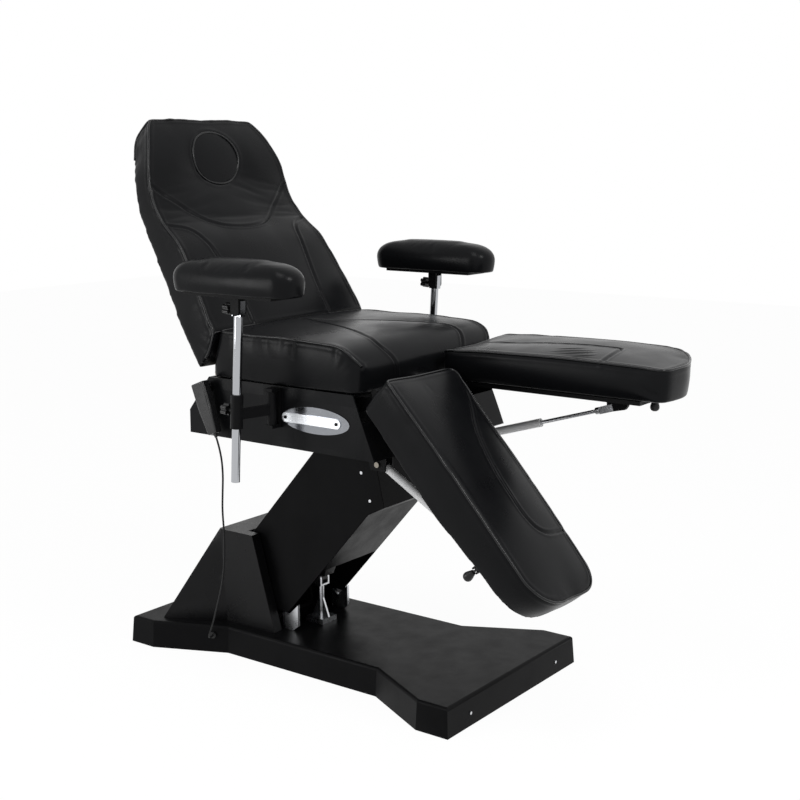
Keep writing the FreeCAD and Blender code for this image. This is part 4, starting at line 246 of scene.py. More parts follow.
def flattened(node):
    """The same with one face for each plane."""
    made = merged(node)
    bmesh.ops.dissolve_limit(made, angle_limit=COPLANAR, verts=made.verts[:],
                             edges=made.edges[:])
    return made


def taken(made, name):
    """Turns a bmesh into a mesh and frees it."""
    mesh = bpy.data.meshes.new(name)
    made.to_mesh(mesh)
    made.free()
    return mesh


def eased_copy(node, name, body, finish, width, angle=24):
    """Copy of a rigid cover whose sharp edges are rounded, shown in its place."""
    made = flattened(node)
    sharp = [e for e in made.edges
             if len(e.link_faces) == 2 and e.calc_face_angle(0) > radians(angle)]
    rounded = bmesh.ops.bevel(made, geom=sharp, affect="EDGES", offset=width,
                              segments=EDGE_SEGMENTS, profile=0.5, material=-1,
                              clamp_overlap=True)
    for face in rounded["faces"]:
        face.smooth = True
    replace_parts(piece(name, taken(made, name), body, finish), node)


COATING = (0.004, 0.004, 0.0044)
BASE_EDGE = 0.003
LAMINATE = moulding("black_laminate", COATING, 0.36, gloss=0.05, grain=0.06)
STEEL = moulding("black_coated_steel", COATING, 0.42, gloss=0.08, grain=0.3)
ZINC = metal("zinc_plate", (0.62, 0.63, 0.65), 0.3)
eased_copy("base_cover", "base_shell", "base", LAMINATE, BASE_EDGE)
dress(STEEL, "base_plate")
dress(ZINC, "base_screws")


# REAR HOUSING
# A tapered box with two cheeks round the foot of the lift arm, in textured black plastic. The
# bearing bracket, the brackets before it and the actuator's post stand bolted to the plate.
HOUSING_EDGE = 0.0045
TEXTURED = moulding("textured_housing", (0.005, 0.005, 0.0055), 0.3, gloss=0.14, grain=0.3)
eased_copy("pedestal_cover", "housing_shell", "base", TEXTURED, HOUSING_EDGE)
dress(STEEL, "pivot_bracket")
dress(ZINC, "foot_brackets", "actuator_post", "lift_pin_lower")


# LIFT ARM
# A welded arm under a slanted box cover, held by small screws in its sides. An electric
# actuator raises it and a link behind it keeps the seat level.
ARM_COVER_EDGE = 0.0018
MOULDED_BLACK = (0.008, 0.008, 0.0085)
PLASTIC = moulding("black_plastic", MOULDED_BLACK, 0.32, gloss=0.3)
eased_copy("arm_cover", "arm_shell", "lift_arm_body", LAMINATE, ARM_COVER_EDGE)
dress(STEEL, "lift_arm", "levelling_link")
dress(PLASTIC, "lift_actuator_body")
dress(ZINC, "lift_actuator_rod", "lift_pin_upper", "arm_screws")


# SEAT FRAME AND SKIRT
# A welded frame on the arm's head. The skirt round it is board wrapped in the vinyl of the
# cushions and tacked inside, so its sides are slightly wavy.
PEBBLE_SCALE = 620
PEBBLE_RELIEF_SHARE = 0.014
UNDULATION_SCALE = 7
SHEEN_SCALE = 16
WIPED, HANDLED = 0.025, 0.035
VINYL_DEPTH, VINYL_STRENGTH = 0.006, 0.5


def leather(name, color, worn, roughness, folds=0.4, gloss=0.09):
    """Soft vinyl: fine pebble grain, slow undulation and slightly uneven sheen."""
    paint = Paint(name, color, roughness, gloss=gloss)
    pebbles = paint.node("ShaderNodeTexVoronoi",
                         {"Vector": paint.place, "Scale": PEBBLE_SCALE}, "Distance")
    slow = paint.noise(UNDULATION_SCALE, 2.0, 0.45)
    paint.feed(Base_Color=paint.blend(paint.span(slow, 0, 1), color, worn),
               Roughness=paint.span(paint.noise(SHEEN_SCALE, 2.0), roughness - WIPED,
                                    roughness + HANDLED))
    paint.emboss(pebbles * PEBBLE_RELIEF_SHARE + slow * folds, VINYL_DEPTH, VINYL_STRENGTH)
    return paint.material


def coordinates(mesh):
    co = np.zeros(len(mesh.vertices) * 3)
    mesh.vertices.foreach_get("co", co)
    return co.reshape(-1, 3)


def put(mesh, co):
    mesh.vertices.foreach_set("co", co.ravel())
    mesh.update()


def smooth(mesh):
    mesh.polygons.foreach_set("use_smooth", [True] * len(mesh.polygons))


VINYL = leather("black_vinyl", (0.0046, 0.0048, 0.0055), (0.0062, 0.0065, 0.0074), 0.29)
SKIRT_GRID = 0.014
SKIRT_WAVE = 0.0016
SKIRT_TACKED = 0.03
SKIRT_LOOSE_HEM = 0.01
SKIRT_REAR_WALL = 0.08
LONG_WAVES, LONG_SHIFT = (5, 11, 5), (0, 0, 3)
SHORT_WAVES = (20, 34, 9)
SHORT_SHARE = 0.5
made = flattened("skirt_cover")
skirt_low, skirt_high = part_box("skirt_cover")
for axis in range(3):
    across = Vector([1.0 if k == axis else 0.0 for k in range(3)])
    for step in range(1, int((skirt_high[axis] - skirt_low[axis]) / SKIRT_GRID)):
        bmesh.ops.bisect_plane(made, geom=made.verts[:] + made.edges[:] + made.faces[:],
                               dist=1e-5, plane_no=across,
                               plane_co=across * (skirt_low[axis] + SKIRT_GRID * step))
bmesh.ops.triangulate(made, faces=[f for f in made.faces if len(f.verts) > 4])
for vert in made.verts:
    x, y, z = vert.co
    slack = min(1, (skirt_high.z - z) / SKIRT_TACKED,
                (z - skirt_low.z + SKIRT_LOOSE_HEM) / SKIRT_TACKED)
    long = Vector([c * k + shift for c, k, shift in zip(vert.co, LONG_WAVES, LONG_SHIFT)])
    short = Vector([c * k for c, k in zip(vert.co, SHORT_WAVES)])
    out = (noise.noise(long) * 2 + noise.noise(short) * SHORT_SHARE) * SKIRT_WAVE * slack
    if y < skirt_high.y - SKIRT_REAR_WALL:
        vert.co.x += out if x > 0 else -out
    else:
        vert.co.y += min(out, 0)
skirt = piece("skirt_upholstery", taken(made, "skirt_upholstery"), "seat", VINYL)
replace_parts(skirt, "skirt_cover")
dress(STEEL, "seat_frame", "leg_hinge_pins", "armrest_brackets", "seat_board")
DARK_ZINC = metal("dark_zinc", (0.24, 0.22, 0.19), 0.45)
dress(DARK_ZINC, "frame_bolts")


# OVAL PLATES
# Polished oval plates on both sides of the skirt, each with a brushed bar that two screws
# hold across it.
POLISHED = metal("polished_plate", (0.27, 0.28, 0.30), 0.12, lines=(0.3, 0.4, 2.0))
BRUSHED = metal("brushed_bar", (0.78, 0.80, 0.83), 0.3, lines=(0.05, 0.04, 2.0), marks=0.1)
dress(POLISHED, "oval_plates")
dress(BRUSHED, "plate_bars")
dress(STEEL, "plate_screws")


# SEAT CUSHION
# Foam on the seat board in black vinyl: crowned top, rounded nose, piped edges and two
# seams that part towards the front. The sides gather a little under the piping.
class Local:
    """A cushion's own frame: across, along from its hinge line, and out of its board."""

    def __init__(self, y, z, degrees):
        self.origin = Vector((0, y, z))
        self.turn = Matrix.Rotation(radians(degrees), 3, "X")

    def world(self, point):
        return self.origin + self.turn @ Vector(point)

    def local(self, array):
        return (np.asarray(array) - np.array(self.origin)) @ np.array(self.turn)

    def placed(self, array):
        return array @ np.array(self.turn).T + np.array(self.origin)

    def height(self, point):
        return self.local([list(point)])[0][2]


CREASED = radians(32)
RUN_STEP = 0.008
LAID_STEP = 0.006
REACH = 0.03
EDGE_PULL = 0.8
PIN_SHARE = 0.9
CLOTH_FRAMES = 14
CLOTH_QUALITY = 3


def crease_runs(node, wanted):
    """The node's sharp edges whose middle the test keeps, chained into runs of points. The
    highest edge left starts the next run, so a fork gives the same runs each time."""
    made = merged(node)
    left = [edge for edge in made.edges
            if len(edge.link_faces) == 2 and edge.calc_face_angle(0) > CREASED
            and wanted((edge.verts[0].co + edge.verts[1].co) / 2)]
    left.sort(key=lambda edge: edge.verts[0].co.z + edge.verts[1].co.z, reverse=True)
    runs = []
    while left:
        start = left.pop(0)
        chain = [start.verts[0], start.verts[1]]
        for _ in range(2):
            while True:
                joined = [e for e in chain[-1].link_edges if e in left]
                if not joined:
                    break
                left.remove(joined[0])
                chain.append(joined[0].other_vert(chain[-1]))
            chain.reverse()
        runs.append([v.co.copy() for v in chain])
    made.free()
    return runs


def resampled(run, step):
    """Evenly spaced points along a run."""
    run = np.array([list(p) for p in run])
    lengths = np.r_[0, np.cumsum(np.linalg.norm(np.diff(run, axis=0), axis=1))]
    count = max(int(round(lengths[-1] / step)), 2)
    at = np.linspace(0, lengths[-1], count + 1)
    return np.c_[[np.interp(at, lengths, run[:, k]) for k in range(3)]].T


def nearest(points, runs, reach=REACH):
    """For each point its distance to the runs, the closest place on them, and how far
    along the run that place lies. Points beyond the reach keep a large distance."""
    best = np.full(len(points), 1.0)
    place = points.copy()
    along = np.zeros(len(points))
    for run in runs:
        run = resampled(run, RUN_STEP)
        start = 0.0
        for a, b in zip(run[:-1], run[1:]):
            ab = b - a
            length = float(np.linalg.norm(ab))
            low, high = np.minimum(a, b) - reach, np.maximum(a, b) + reach
            close = np.flatnonzero(((points > low) & (points < high)).all(1))
            if len(close) and length > 0:
                t = np.clip((points[close] - a) @ ab / length ** 2, 0, 1)
                spot = a + t[:, None] * ab
                d = np.linalg.norm(points[close] - spot, axis=1)
                won = d < best[close]
                best[close[won]] = d[won]
                place[close[won]] = spot[won]
                along[close[won]] = start + t[won] * length
            start += length
    return best, place, along


def normals(mesh):
    no = np.zeros(len(mesh.vertices) * 3)
    mesh.vertex_normals.foreach_get("vector", no)
    return no.reshape(-1, 3)


def evaluated(item):
    return bpy.data.meshes.new_from_object(
        item.evaluated_get(bpy.context.evaluated_depsgraph_get()))


def ramp(values, start, end):
    """Smooth rise from 0 to 1 between two values."""
    t = np.clip((values - start) / (end - start), 0, 1)
    return t * t * (3 - 2 * t)


def cushion(node, name, body, voxel, shrink, cap, edges, seams, shape,
            pressure=4.0, flat=None, crisp=0.006):
    """Remeshes a cushion's solid, shapes it, draws its edges sharp, inflates it as cloth
    between its held edges and seams, and shows it in the node's place. Flat keeps what
    lies on the board."""
    item = bpy.data.objects.new(name, taken(merged(node), name))
    scene.collection.objects.link(item)
    remesh = item.modifiers.new("remesh", "REMESH")
    remesh.mode = "VOXEL"
    remesh.voxel_size = voxel
    mesh = evaluated(item)
    item.modifiers.clear()
    item.data = mesh
    made = bmesh.new()
    made.from_mesh(mesh)
    for _ in range(2):
        bmesh.ops.smooth_vert(made, verts=made.verts[:], factor=0.5,
                              use_axis_x=True, use_axis_y=True, use_axis_z=True)
    made.to_mesh(mesh)
    made.free()
    rest = shape(coordinates(mesh))
    put(mesh, rest)
    d, spot, _ = nearest(rest, edges)
    hold = np.exp(-(d / crisp) ** 2)[:, None]
    base = rest - normals(mesh) * shrink * (1 - hold) + (spot - rest) * hold * EDGE_PULL
    put(mesh, base)
    pinned = nearest(rest, edges + seams)[0] < voxel * PIN_SHARE
    if flat is not None:
        pinned |= flat(rest)
    group = item.vertex_groups.new(name="held")
    group.add([int(i) for i in np.flatnonzero(pinned)], 1.0, "REPLACE")
    settings = item.modifiers.new("cloth", "CLOTH").settings
    settings.use_pressure = True
    settings.uniform_pressure_force = pressure
    settings.effector_weights.gravity = 0
    settings.vertex_group_mass = "held"
    settings.quality = CLOTH_QUALITY
    for number in range(1, CLOTH_FRAMES + 1):
        scene.frame_set(number)
    moved = coordinates(evaluated(item))
    item.modifiers.clear()
    item.vertex_groups.clear()
    scene.frame_set(1)
    step = moved - base
    size = np.linalg.norm(step, axis=1)
    limit = np.minimum(size, cap) / np.maximum(size, 1e-9)
    put(mesh, base + step * limit[:, None])
    item.modifiers.new("fine", "SUBSURF").levels = 1
    fine = evaluated(item)
    item.modifiers.clear()
    item.data = fine
    smooth(fine)
    fine.materials.clear()
    fine.materials.append(VINYL)
    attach(item, body)
    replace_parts(item, node)
    return item


SEAM_BANK = 2.6
GATHER_REACH = 0.035
GATHER_PITCH = 0.02
GATHER_LENGTH = 0.09
GATHER_BREAK = 0.11
GATHER_START = 0.006
GATHER_MEAN, GATHER_SPREAD = 0.35, 1.3
GATHER_ROW, BREAK_ROW = 0.5, 7.3
FOLD_DEPTH = 0.0014
FOLD_WIDTH = 0.004
FOLD_BANK, FOLD_BANK_SHARE = 2.0, 0.6


def sew(item, runs, depth=0.003, width=0.0032, swell=0.001):
    """Sinks seams into a cushion and raises the cloth a little beside them."""
    co, no = coordinates(item.data), normals(item.data)
    d = nearest(co, runs)[0]
    dip = -depth * np.exp(-(d / width) ** 2) \
        + swell * np.exp(-((d / width - SEAM_BANK) ** 2))
    put(item.data, co + no * np.where(d < REACH, dip, 0)[:, None])


def gather(item, runs, keep, depth):
    """Small folds that run away from an edge, where the test on places and normals keeps
    them. They come and go along the edge."""
    co, no = coordinates(item.data), normals(item.data)
    d, _, along = nearest(co, runs, GATHER_REACH * 1.6)
    for i in np.flatnonzero((d < GATHER_REACH * 1.5) & keep(co, no)):
        t, away = along[i], d[i]
        fold = noise.noise(Vector((t / GATHER_PITCH, away / GATHER_LENGTH, GATHER_ROW)))
        swell = noise.noise(Vector((t / GATHER_BREAK, BREAK_ROW, 0))) * GATHER_SPREAD
        amount = max(0.0, GATHER_MEAN + swell)
        fade = exp(-(away / GATHER_REACH) ** 2) * min(1, away / GATHER_START)
        co[i] += no[i] * fold * amount * depth * fade * 2
    put(item.data, co)


def crease(item, lines):
    """Single soft folds that fade out at both ends."""
    co, no = coordinates(item.data), normals(item.data)
    for line in lines:
        run = np.array([list(p) for p in line])
        length = np.linalg.norm(np.diff(run, axis=0), axis=1).sum()
        d, _, along = nearest(co, [line])
        fade = np.sin(np.clip(along / length, 0, 1) * pi)
        valley = np.exp(-(d / FOLD_WIDTH) ** 2)
        bank = np.exp(-((d / FOLD_WIDTH - FOLD_BANK) ** 2)) * FOLD_BANK_SHARE
        co += no * (np.where(d < REACH, fade, 0) * FOLD_DEPTH * (bank - valley))[:, None]
    put(item.data, co)


def snapped(item, run, lift=0.0):
    """A run of points laid on the cushion's surface."""
    tree = BVHTree.FromPolygons([v.co for v in item.data.vertices],
                                [p.vertices[:] for p in item.data.polygons])
    found = []
    for point in resampled(run, LAID_STEP):
        place, normal, _, _ = tree.find_nearest(Vector(point))
        found.append(place + normal * lift)
    return found


def spline_points(points, steps=8):
    """Points along the NURBS spline that has these as its control points."""
    curve = bpy.data.curves.new("route", "CURVE")
    curve.dimensions = "3D"
    run = curve.splines.new("NURBS")
    run.points.add(len(points) - 1)
    for slot, point in zip(run.points, points):
        slot.co = (*point, 1)
    run.order_u = 3
    run.use_endpoint_u = True
    run.resolution_u = steps
    holder = bpy.data.objects.new("route", curve)
    scene.collection.objects.link(holder)
    bpy.context.view_layer.update()
    line = bpy.data.meshes.new_from_object(
        holder.evaluated_get(bpy.context.evaluated_depsgraph_get()))
    found = [v.co.copy() for v in line.vertices]
    bpy.data.objects.remove(holder)
    return found


def tube(points, radius, sides, closed=False):
    """Mesh tube round a run of points, with a frame that doesn't twist."""
    count = len(points)
    points = [Vector(p) for p in points]
    made = bmesh.new()
    up = None
    rings = []
    for i, point in enumerate(points):
        ahead = points[(i + 1) % count] if closed or i + 1 < count else point
        behind = points[i - 1] if closed or i else point
        along = (ahead - behind).normalized()
        if up is None:
            up = along.orthogonal().normalized()
        up = (up - along * up.dot(along)).normalized()
        out = along.cross(up)
        rings.append([made.verts.new(point + (up * cos(2 * pi * k / sides)
                                              + out * sin(2 * pi * k / sides)) * radius)
                      for k in range(sides)])
    for i in range(count if closed else count - 1):
        first, second = rings[i], rings[(i + 1) % count]
        shift = 0
        if closed and i == count - 1:
            shift = min(range(sides), key=lambda k: (second[k].co - first[0].co).length)
        for k in range(sides):
            made.faces.new((first[k], first[(k + 1) % sides],
                            second[(k + 1 + shift) % sides], second[(k + shift) % sides]))
    if not closed:
        made.faces.new(rings[0][::-1])
        made.faces.new(rings[-1])
    bmesh.ops.recalc_face_normals(made, faces=made.faces[:])
    mesh = taken(made, "tube")
    smooth(mesh)
    return mesh


PIPE_RADIUS = 0.0031
PIPE_LIFT = 0.0012
PIPE_SIDES = 10
PIPE_EASING = 3
CLOSED_GAP = 0.004


def eased(points, closed):
    """A run of points with its small wobbles taken out."""
    co = np.array([list(p) for p in points])
    for _ in range(PIPE_EASING):
        if closed:
            co = (np.roll(co, 1, 0) + co * 2 + np.roll(co, -1, 0)) / 4
        else:
            co[1:-1] = (co[:-2] + co[1:-1] * 2 + co[2:]) / 4
    return [Vector(p) for p in co]


def pipe(item, runs, name, body):
    """Sinks the seam beside the piping and lays the piping on it."""
    sew(item, runs, depth=0.0022, width=0.0048, swell=0.0009)
    made = bmesh.new()
    for run in runs:
        closed = (Vector(run[0]) - Vector(run[-1])).length < CLOSED_GAP
        line = eased(snapped(item, run, PIPE_LIFT), closed)
        if closed:
            line = line[:-1]
        made.from_mesh(tube(line, PIPE_RADIUS, PIPE_SIDES, closed))
    mesh = taken(made, name)
    smooth(mesh)
    piece(name, mesh, body, PIPING)


PIPING = leather("piping", (0.005, 0.0052, 0.006), (0.008, 0.0082, 0.0092), 0.22,
                 folds=0.1, gloss=0.3)
SEAT_SWELL = 0.009
SEAT_SWELL_ALONG = (0.02, 0.19)
SEAT_SWELL_UP = (0.84, 0.90)
SEAT_UNDERSIDE = 0.03
BOARD_SKIN = 0.004
SEAT_GATHERS = 0.0032
seat_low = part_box("seat_cushion")[0]


def seat_shape(co):
    """The cushion swells a little towards the backrest."""
    co = co.copy()
    co[:, 2] += SEAT_SWELL * ramp(co[:, 1], *SEAT_SWELL_ALONG) \
        * ramp(co[:, 2], *SEAT_SWELL_UP)
    return co


seat_edges = [seat_shape(resampled(run, RUN_STEP)) for run in
              crease_runs("seat_cushion", lambda p: p.z > seat_low.z + SEAT_UNDERSIDE)]
seat_seam = ((-0.001, 0.149, 0.915), (-0.018, 0.070, 0.921), (-0.075, -0.040, 0.925),
             (-0.120, -0.135, 0.924), (-0.160, -0.200, 0.920), (-0.178, -0.249, 0.910),
             (-0.166, -0.269, 0.890), (-0.152, -0.278, 0.870), (-0.143, -0.284, 0.845),
             (-0.143, -0.284, 0.805))
seat_seams = [spline_points(seat_seam), spline_points([(-x, y, z) for x, y, z in seat_seam])]
seat = cushion("seat_cushion", "seat_upholstery", "seat", voxel=0.0066, shrink=0.0025,
               cap=0.008, edges=seat_edges, seams=seat_seams,
               flat=lambda co: co[:, 2] < seat_low.z + BOARD_SKIN, shape=seat_shape)
seat_seams = [snapped(seat, run) for run in seat_seams]
sew(seat, seat_seams)
gather(seat, seat_edges, lambda co, no: np.abs(no[:, 2]) < 0.5, SEAT_GATHERS)
pipe(seat, seat_edges, "seat_piping", "seat")


# BACK CUSHION
# One long cushion on its plate in black vinyl: flat bolsters, a dip at the neck, a piped
# edge all round, a curved seam under the head and a round opening for the face.
BACK = Local(0.250, 0.791, 58.3)
FACE_ALONG = 0.566
FACE_HALF = 0.086
FACE_SQUEEZE_SHARE = 0.21
FACE_RIM = 0.004
FACE_EASED = 0.080
FACE_NEAR = 0.02
BACK_SWELL = 0.014
BACK_SWELL_OUT = (0.02, 0.09)
BACK_SWELL_ALONG = (0.08, 0.20)
BACK_UNDERSIDE = 0.06
BACK_BOARD = 0.03
BACK_GATHERS = 0.001
HEAD_SEAM_OUT = 0.105
BOLSTER_OUT = 0.130


def on_back(points, out):
    """Points across and along the back, at a height over its plate."""
    return [BACK.world((x, along, out)) for x, along in points]


def from_face(level):
    """How far points lie from the middle of the face opening."""
    return np.hypot(level[:, 0], level[:, 1] - FACE_ALONG)


def squeezed(along):
    """How far the face opening moves up at a place along the back."""
    return (FACE_ALONG + FACE_HALF - along) * FACE_SQUEEZE_SHARE


def back_shape(co):
    """The lower end swells towards the seat, and the face opening is wider than high."""
    level = BACK.local(co)
    level[:, 1] += squeezed(level[:, 1]) \
        * (1 - ramp(from_face(level), FACE_HALF + FACE_RIM, FACE_HALF + FACE_EASED))
    level[:, 1] -= BACK_SWELL * ramp(level[:, 2], *BACK_SWELL_OUT) \
        * (1 - ramp(level[:, 1], *BACK_SWELL_ALONG))
    return BACK.placed(level)


back_edges = [back_shape(resampled(run, RUN_STEP)) for run in
              crease_runs("back_cushion", lambda p: BACK.height(p) > BACK_UNDERSIDE)
              if len(run) > 2]
around_face = [run for run in back_edges
               if from_face(BACK.local(run)).max() < FACE_HALF + FACE_NEAR]
opening = max(around_face, key=lambda run: BACK.local(run)[:, 2].mean())
back_edges = [run for run in back_edges
              if run is opening or not any(run is other for other in around_face)]
head_half = ((0.0, 0.362), (0.060, 0.367), (0.112, 0.390), (0.165, 0.430), (0.215, 0.470),
             (0.262, 0.508))
head_seam = on_back([(-x, t) for x, t in reversed(head_half)] + list(head_half[1:]),
                    HEAD_SEAM_OUT)
bolster = ((0.272, 0.400), (0.232, 0.390), (0.202, 0.365), (0.186, 0.325), (0.178, 0.285),
           (0.168, 0.230), (0.159, 0.165), (0.158, 0.085), (0.160, 0.030))
back_seams = [spline_points(head_seam)]
for way in (-1, 1):
    back_seams.append(spline_points(on_back([(x * way, t) for x, t in bolster],
                                            BOLSTER_OUT)))
back = cushion("back_cushion", "back_upholstery", "back", voxel=0.0075, shrink=0.0025,
               cap=0.009, edges=back_edges, seams=back_seams,
               flat=lambda co: BACK.local(co)[:, 2] < BACK_BOARD, shape=back_shape)
back_seams = [snapped(back, run) for run in back_seams]
sew(back, back_seams)
gather(back, back_edges, lambda co, no: np.abs(no[:, 0]) > 0.6, BACK_GATHERS)
pipe(back, back_edges, "back_piping", "back")
dress(STEEL, "back_frame")
dress(PLASTIC, "back_actuator_body")
dress(ZINC, "back_actuator_rod")


# FACE PLUG
# A padded foam plug in the same vinyl that closes the face opening. It is held by friction
# and lifts out by hand.
PLUG_GROW_SHARE = 1.022
PLUG_TOP = 0.143
PLUG_FALL = 0.0141
PLUG_DOME = 0.003
PLUG_SINK = 0.0015
PLUG_PAD = (0.085, 0.105)
PLUG_SIDE = 0.10
OPENING_RISE = np.polyfit(*BACK.local(opening)[:, 1:].T, 2)


def plug_shape(co):
    """The pad fills the opening, and its top lies level with the cushion round it."""
    level = BACK.local(co)
    top = ramp(level[:, 2], *PLUG_PAD)
    rim = from_face(level) / FACE_HALF
    for axis, middle in ((0, 0), (1, FACE_ALONG)):
        level[:, axis] += (level[:, axis] - middle) * (PLUG_GROW_SHARE - 1) * top
    level[:, 1] += squeezed(level[:, 1])
    level[:, 2] += (np.polyval(OPENING_RISE, level[:, 1]) + PLUG_DOME * (1 - rim ** 2)
                    - PLUG_SINK - PLUG_TOP + PLUG_FALL * rim ** 2) * top
    return BACK.placed(level)


plug_edges = [plug_shape(resampled(run, RUN_STEP)) for run in
              crease_runs("face_plug", lambda p: BACK.height(p) > PLUG_SIDE)]
cushion("face_plug", "plug_upholstery", "plug", voxel=0.0045, shrink=0.0006, cap=0.003,
        edges=plug_edges, seams=[], pressure=2.0, crisp=0.004, shape=plug_shape)


# LEG RESTS
# Two separate cushions on steel pans, hinged under the seat's front. Each has a piped top
# edge, a rounded outer foot corner, a sewn inner panel and a lip over the pan's outer edge.
LEGS = {"near": Local(-0.295, 0.800, 48.3), "far": Local(-0.295, 0.800, 0)}
LEG_PANELS = {
    "near": ((-0.012, -0.050), (-0.043, -0.119), (-0.092, -0.172), (-0.128, -0.228),
             (-0.154, -0.310), (-0.162, -0.400), (-0.150, -0.470), (-0.118, -0.500),
             (-0.067, -0.508), (-0.012, -0.508)),
    "far": ((0.150, -0.020), (0.140, -0.150), (0.153, -0.274), (0.160, -0.380),
            (0.166, -0.440), (0.150, -0.446), (0.100, -0.455), (0.030, -0.463),
            (0.012, -0.465)),
}
LEG_FOLDS = {
    "near": (),
    "far": (((0.030, -0.330), (0.085, -0.420)), ((0.045, -0.300), (0.100, -0.410)),
            ((0.070, -0.300), (0.118, -0.380)), ((0.022, -0.370), (0.060, -0.430))),
}
LEG_OUTER = 0.290
LEG_TOE = 0.633
LEG_CORNER = 0.125
LEG_INNER = 0.010
LEG_INNER_CORNER = 0.032
LEG_SLIM = {"near": 0.014, "far": 0.0}
LEG_SLIM_ALONG = (0.04, 0.16)
LEG_SLIM_ACROSS = (0.01, 0.16)
LEG_FEET = {"near": (0.660, 0.095, 0.060), "far": (0.633, 0.190, 0.032)}
LEG_FOOT_RUN = 0.25
LEG_WIDEN = 0.012
LEG_RAISE = 0.009
LEG_SWELL_ACROSS = (0.15, 0.28)
LEG_SWELL_UP = (-0.005, 0.06)
LEG_TOP = 0.092
LEG_UNDERSIDE = 0.02
LEG_PAN = -0.004


def foot(u, toe, corner, inner):
    """How far a leg rest reaches forward at a place across it."""
    outwards = np.clip(u - LEG_OUTER + corner, 0, corner)
    inwards = np.clip(LEG_INNER + inner - u, 0, inner)
    return toe - corner - inner + np.sqrt(corner ** 2 - outwards ** 2) \
        + np.sqrt(inner ** 2 - inwards ** 2)


def leg_shape(co, side):
    """The outer side swells outwards and up, and the padding rounds the foot."""
    level = LEGS[side]
    place = level.local(co)
    u = np.abs(place[:, 0])
    start = LEG_TOE - LEG_FOOT_RUN
    reach = (foot(u, *LEG_FEET[side]) - start) \
        / (foot(u, LEG_TOE, LEG_CORNER, LEG_INNER_CORNER) - start)
    place[:, 1] = -np.where(-place[:, 1] > start, start + (-place[:, 1] - start) * reach,
                            -place[:, 1])
    out = ramp(u, *LEG_SWELL_ACROSS)
    slim = LEG_SLIM[side] * ramp(-place[:, 1], *LEG_SLIM_ALONG) \
        * (1 - ramp(u, *LEG_SLIM_ACROSS))
    place[:, 0] += np.sign(place[:, 0]) * (LEG_WIDEN * out + slim)
    place[:, 2] += LEG_RAISE * out * ramp(place[:, 2], *LEG_SWELL_UP)
    return level.placed(place)


for side, level in LEGS.items():
    edges = [leg_shape(resampled(run, RUN_STEP), side) for run in
             crease_runs("leg_cushion_" + side,
                         lambda p, level=level: level.height(p) > LEG_UNDERSIDE)
             if len(run) > 3]
    panel = spline_points([level.world((x, y, LEG_TOP)) for x, y in LEG_PANELS[side]])
    leg = cushion("leg_cushion_" + side, "leg_upholstery_" + side, "leg_" + side,
                  voxel=0.0066, shrink=0.0025, cap=0.007, edges=edges, seams=[panel],
                  flat=lambda co, level=level: level.local(co)[:, 2] < LEG_PAN,
                  shape=lambda co, side=side: leg_shape(co, side))
    sew(leg, [snapped(leg, panel)])
    crease(leg, [snapped(leg, [level.world((x, y, LEG_TOP)) for x, y in line])
                 for line in LEG_FOLDS[side]])
    pipe(leg, edges, "leg_piping_" + side, "leg_" + side)
    dress(STEEL, "leg_frame_" + side)


# RELEASE LEVERS
# A thin steel rod under each leg rest, held between two cheeks, that ends in a smooth
# drop-shaped plastic knob. Pulling it frees the gas spring.
KNOB_LENGTH = 0.031
KNOB_STEPS = 24
KNOB_PROFILE = ((0.001, 0.0040), (0.003, 0.0062), (0.008, 0.0078), (0.014, 0.0098),
                (0.020, 0.0114), (0.025, 0.0116), (0.029, 0.0102), (0.032, 0.0072),
                (0.0335, 0.0030))
for side, level in LEGS.items():
    dress(PLASTIC, "release_lever_" + side)
    lever = level.local(coordinates(NODES["release_lever_" + side].data))
    x, y = (lever[:, :2].min(0) + lever[:, :2].max(0)) / 2
    top = lever[:, 2].min() + KNOB_LENGTH
    made = bmesh.new()
    profile = [made.verts.new(level.world((x + r, y, top - along)))
               for along, r in KNOB_PROFILE]
    sides = [made.edges.new(pair) for pair in zip(profile[:-1], profile[1:])]
    bmesh.ops.spin(made, geom=profile + sides, cent=level.world((x, y, top)),
                   axis=level.turn @ Vector((0, 0, 1)), angle=2 * pi, steps=KNOB_STEPS,
                   use_merge=True)
    bmesh.ops.holes_fill(made, edges=[e for e in made.edges if e.is_boundary], sides=0)
    bmesh.ops.recalc_face_normals(made, faces=made.faces[:])
    bmesh.ops.subdivide_edges(made, edges=made.edges[:], cuts=1, smooth=1.0)
    mesh = taken(made, "release_knob_" + side)
    smooth(mesh)
    piece("release_knob_" + side, mesh, "lever_" + side, PLASTIC)


# GAS SPRINGS
# A lacquered tube on a bracket below the seat's front and a plated rod that ends in a fork
# at the leg rest's tongue.
SILVER = moulding("silver_lacquer", (0.84, 0.85, 0.87), 0.35, gloss=0.5, grain=0.05)
for side in ("near", "far"):
    dress(SILVER, "spring_tube_" + side)
    dress(ZINC, "spring_rod_" + side)


# ARMRESTS
# A swing arm with a sleeve at each side of the seat. A chromed post slides in it, clamped by
# a star knob, and carries a tilting board with a padded, domed rest in black vinyl.
dress(STEEL, *[name + side for side in ("near", "far")
               for name in ("armrest_arm_", "pad_bracket_")])
# The chrome is set darker than bright chrome: its own plated tone, plus painted shade
# standing in for the dark surroundings it reflects.
CHROME_WITH_PAINTED_SHADE = metal("chrome", (0.44, 0.45, 0.47), 0.07, lines=(1, 1, 0.05), marks=0.04)
dress(CHROME_WITH_PAINTED_SHADE, "armrest_post_near", "armrest_post_far")
dress(PLASTIC, *[name + side for side in ("near", "far")
                 for name in ("sleeve_knob_", "tilt_knob_")])
PAD_WRAP = 0.006
PAD_WRAP_UP = 0.03
PAD_RIM_SHARES = (0.70, 0.92)


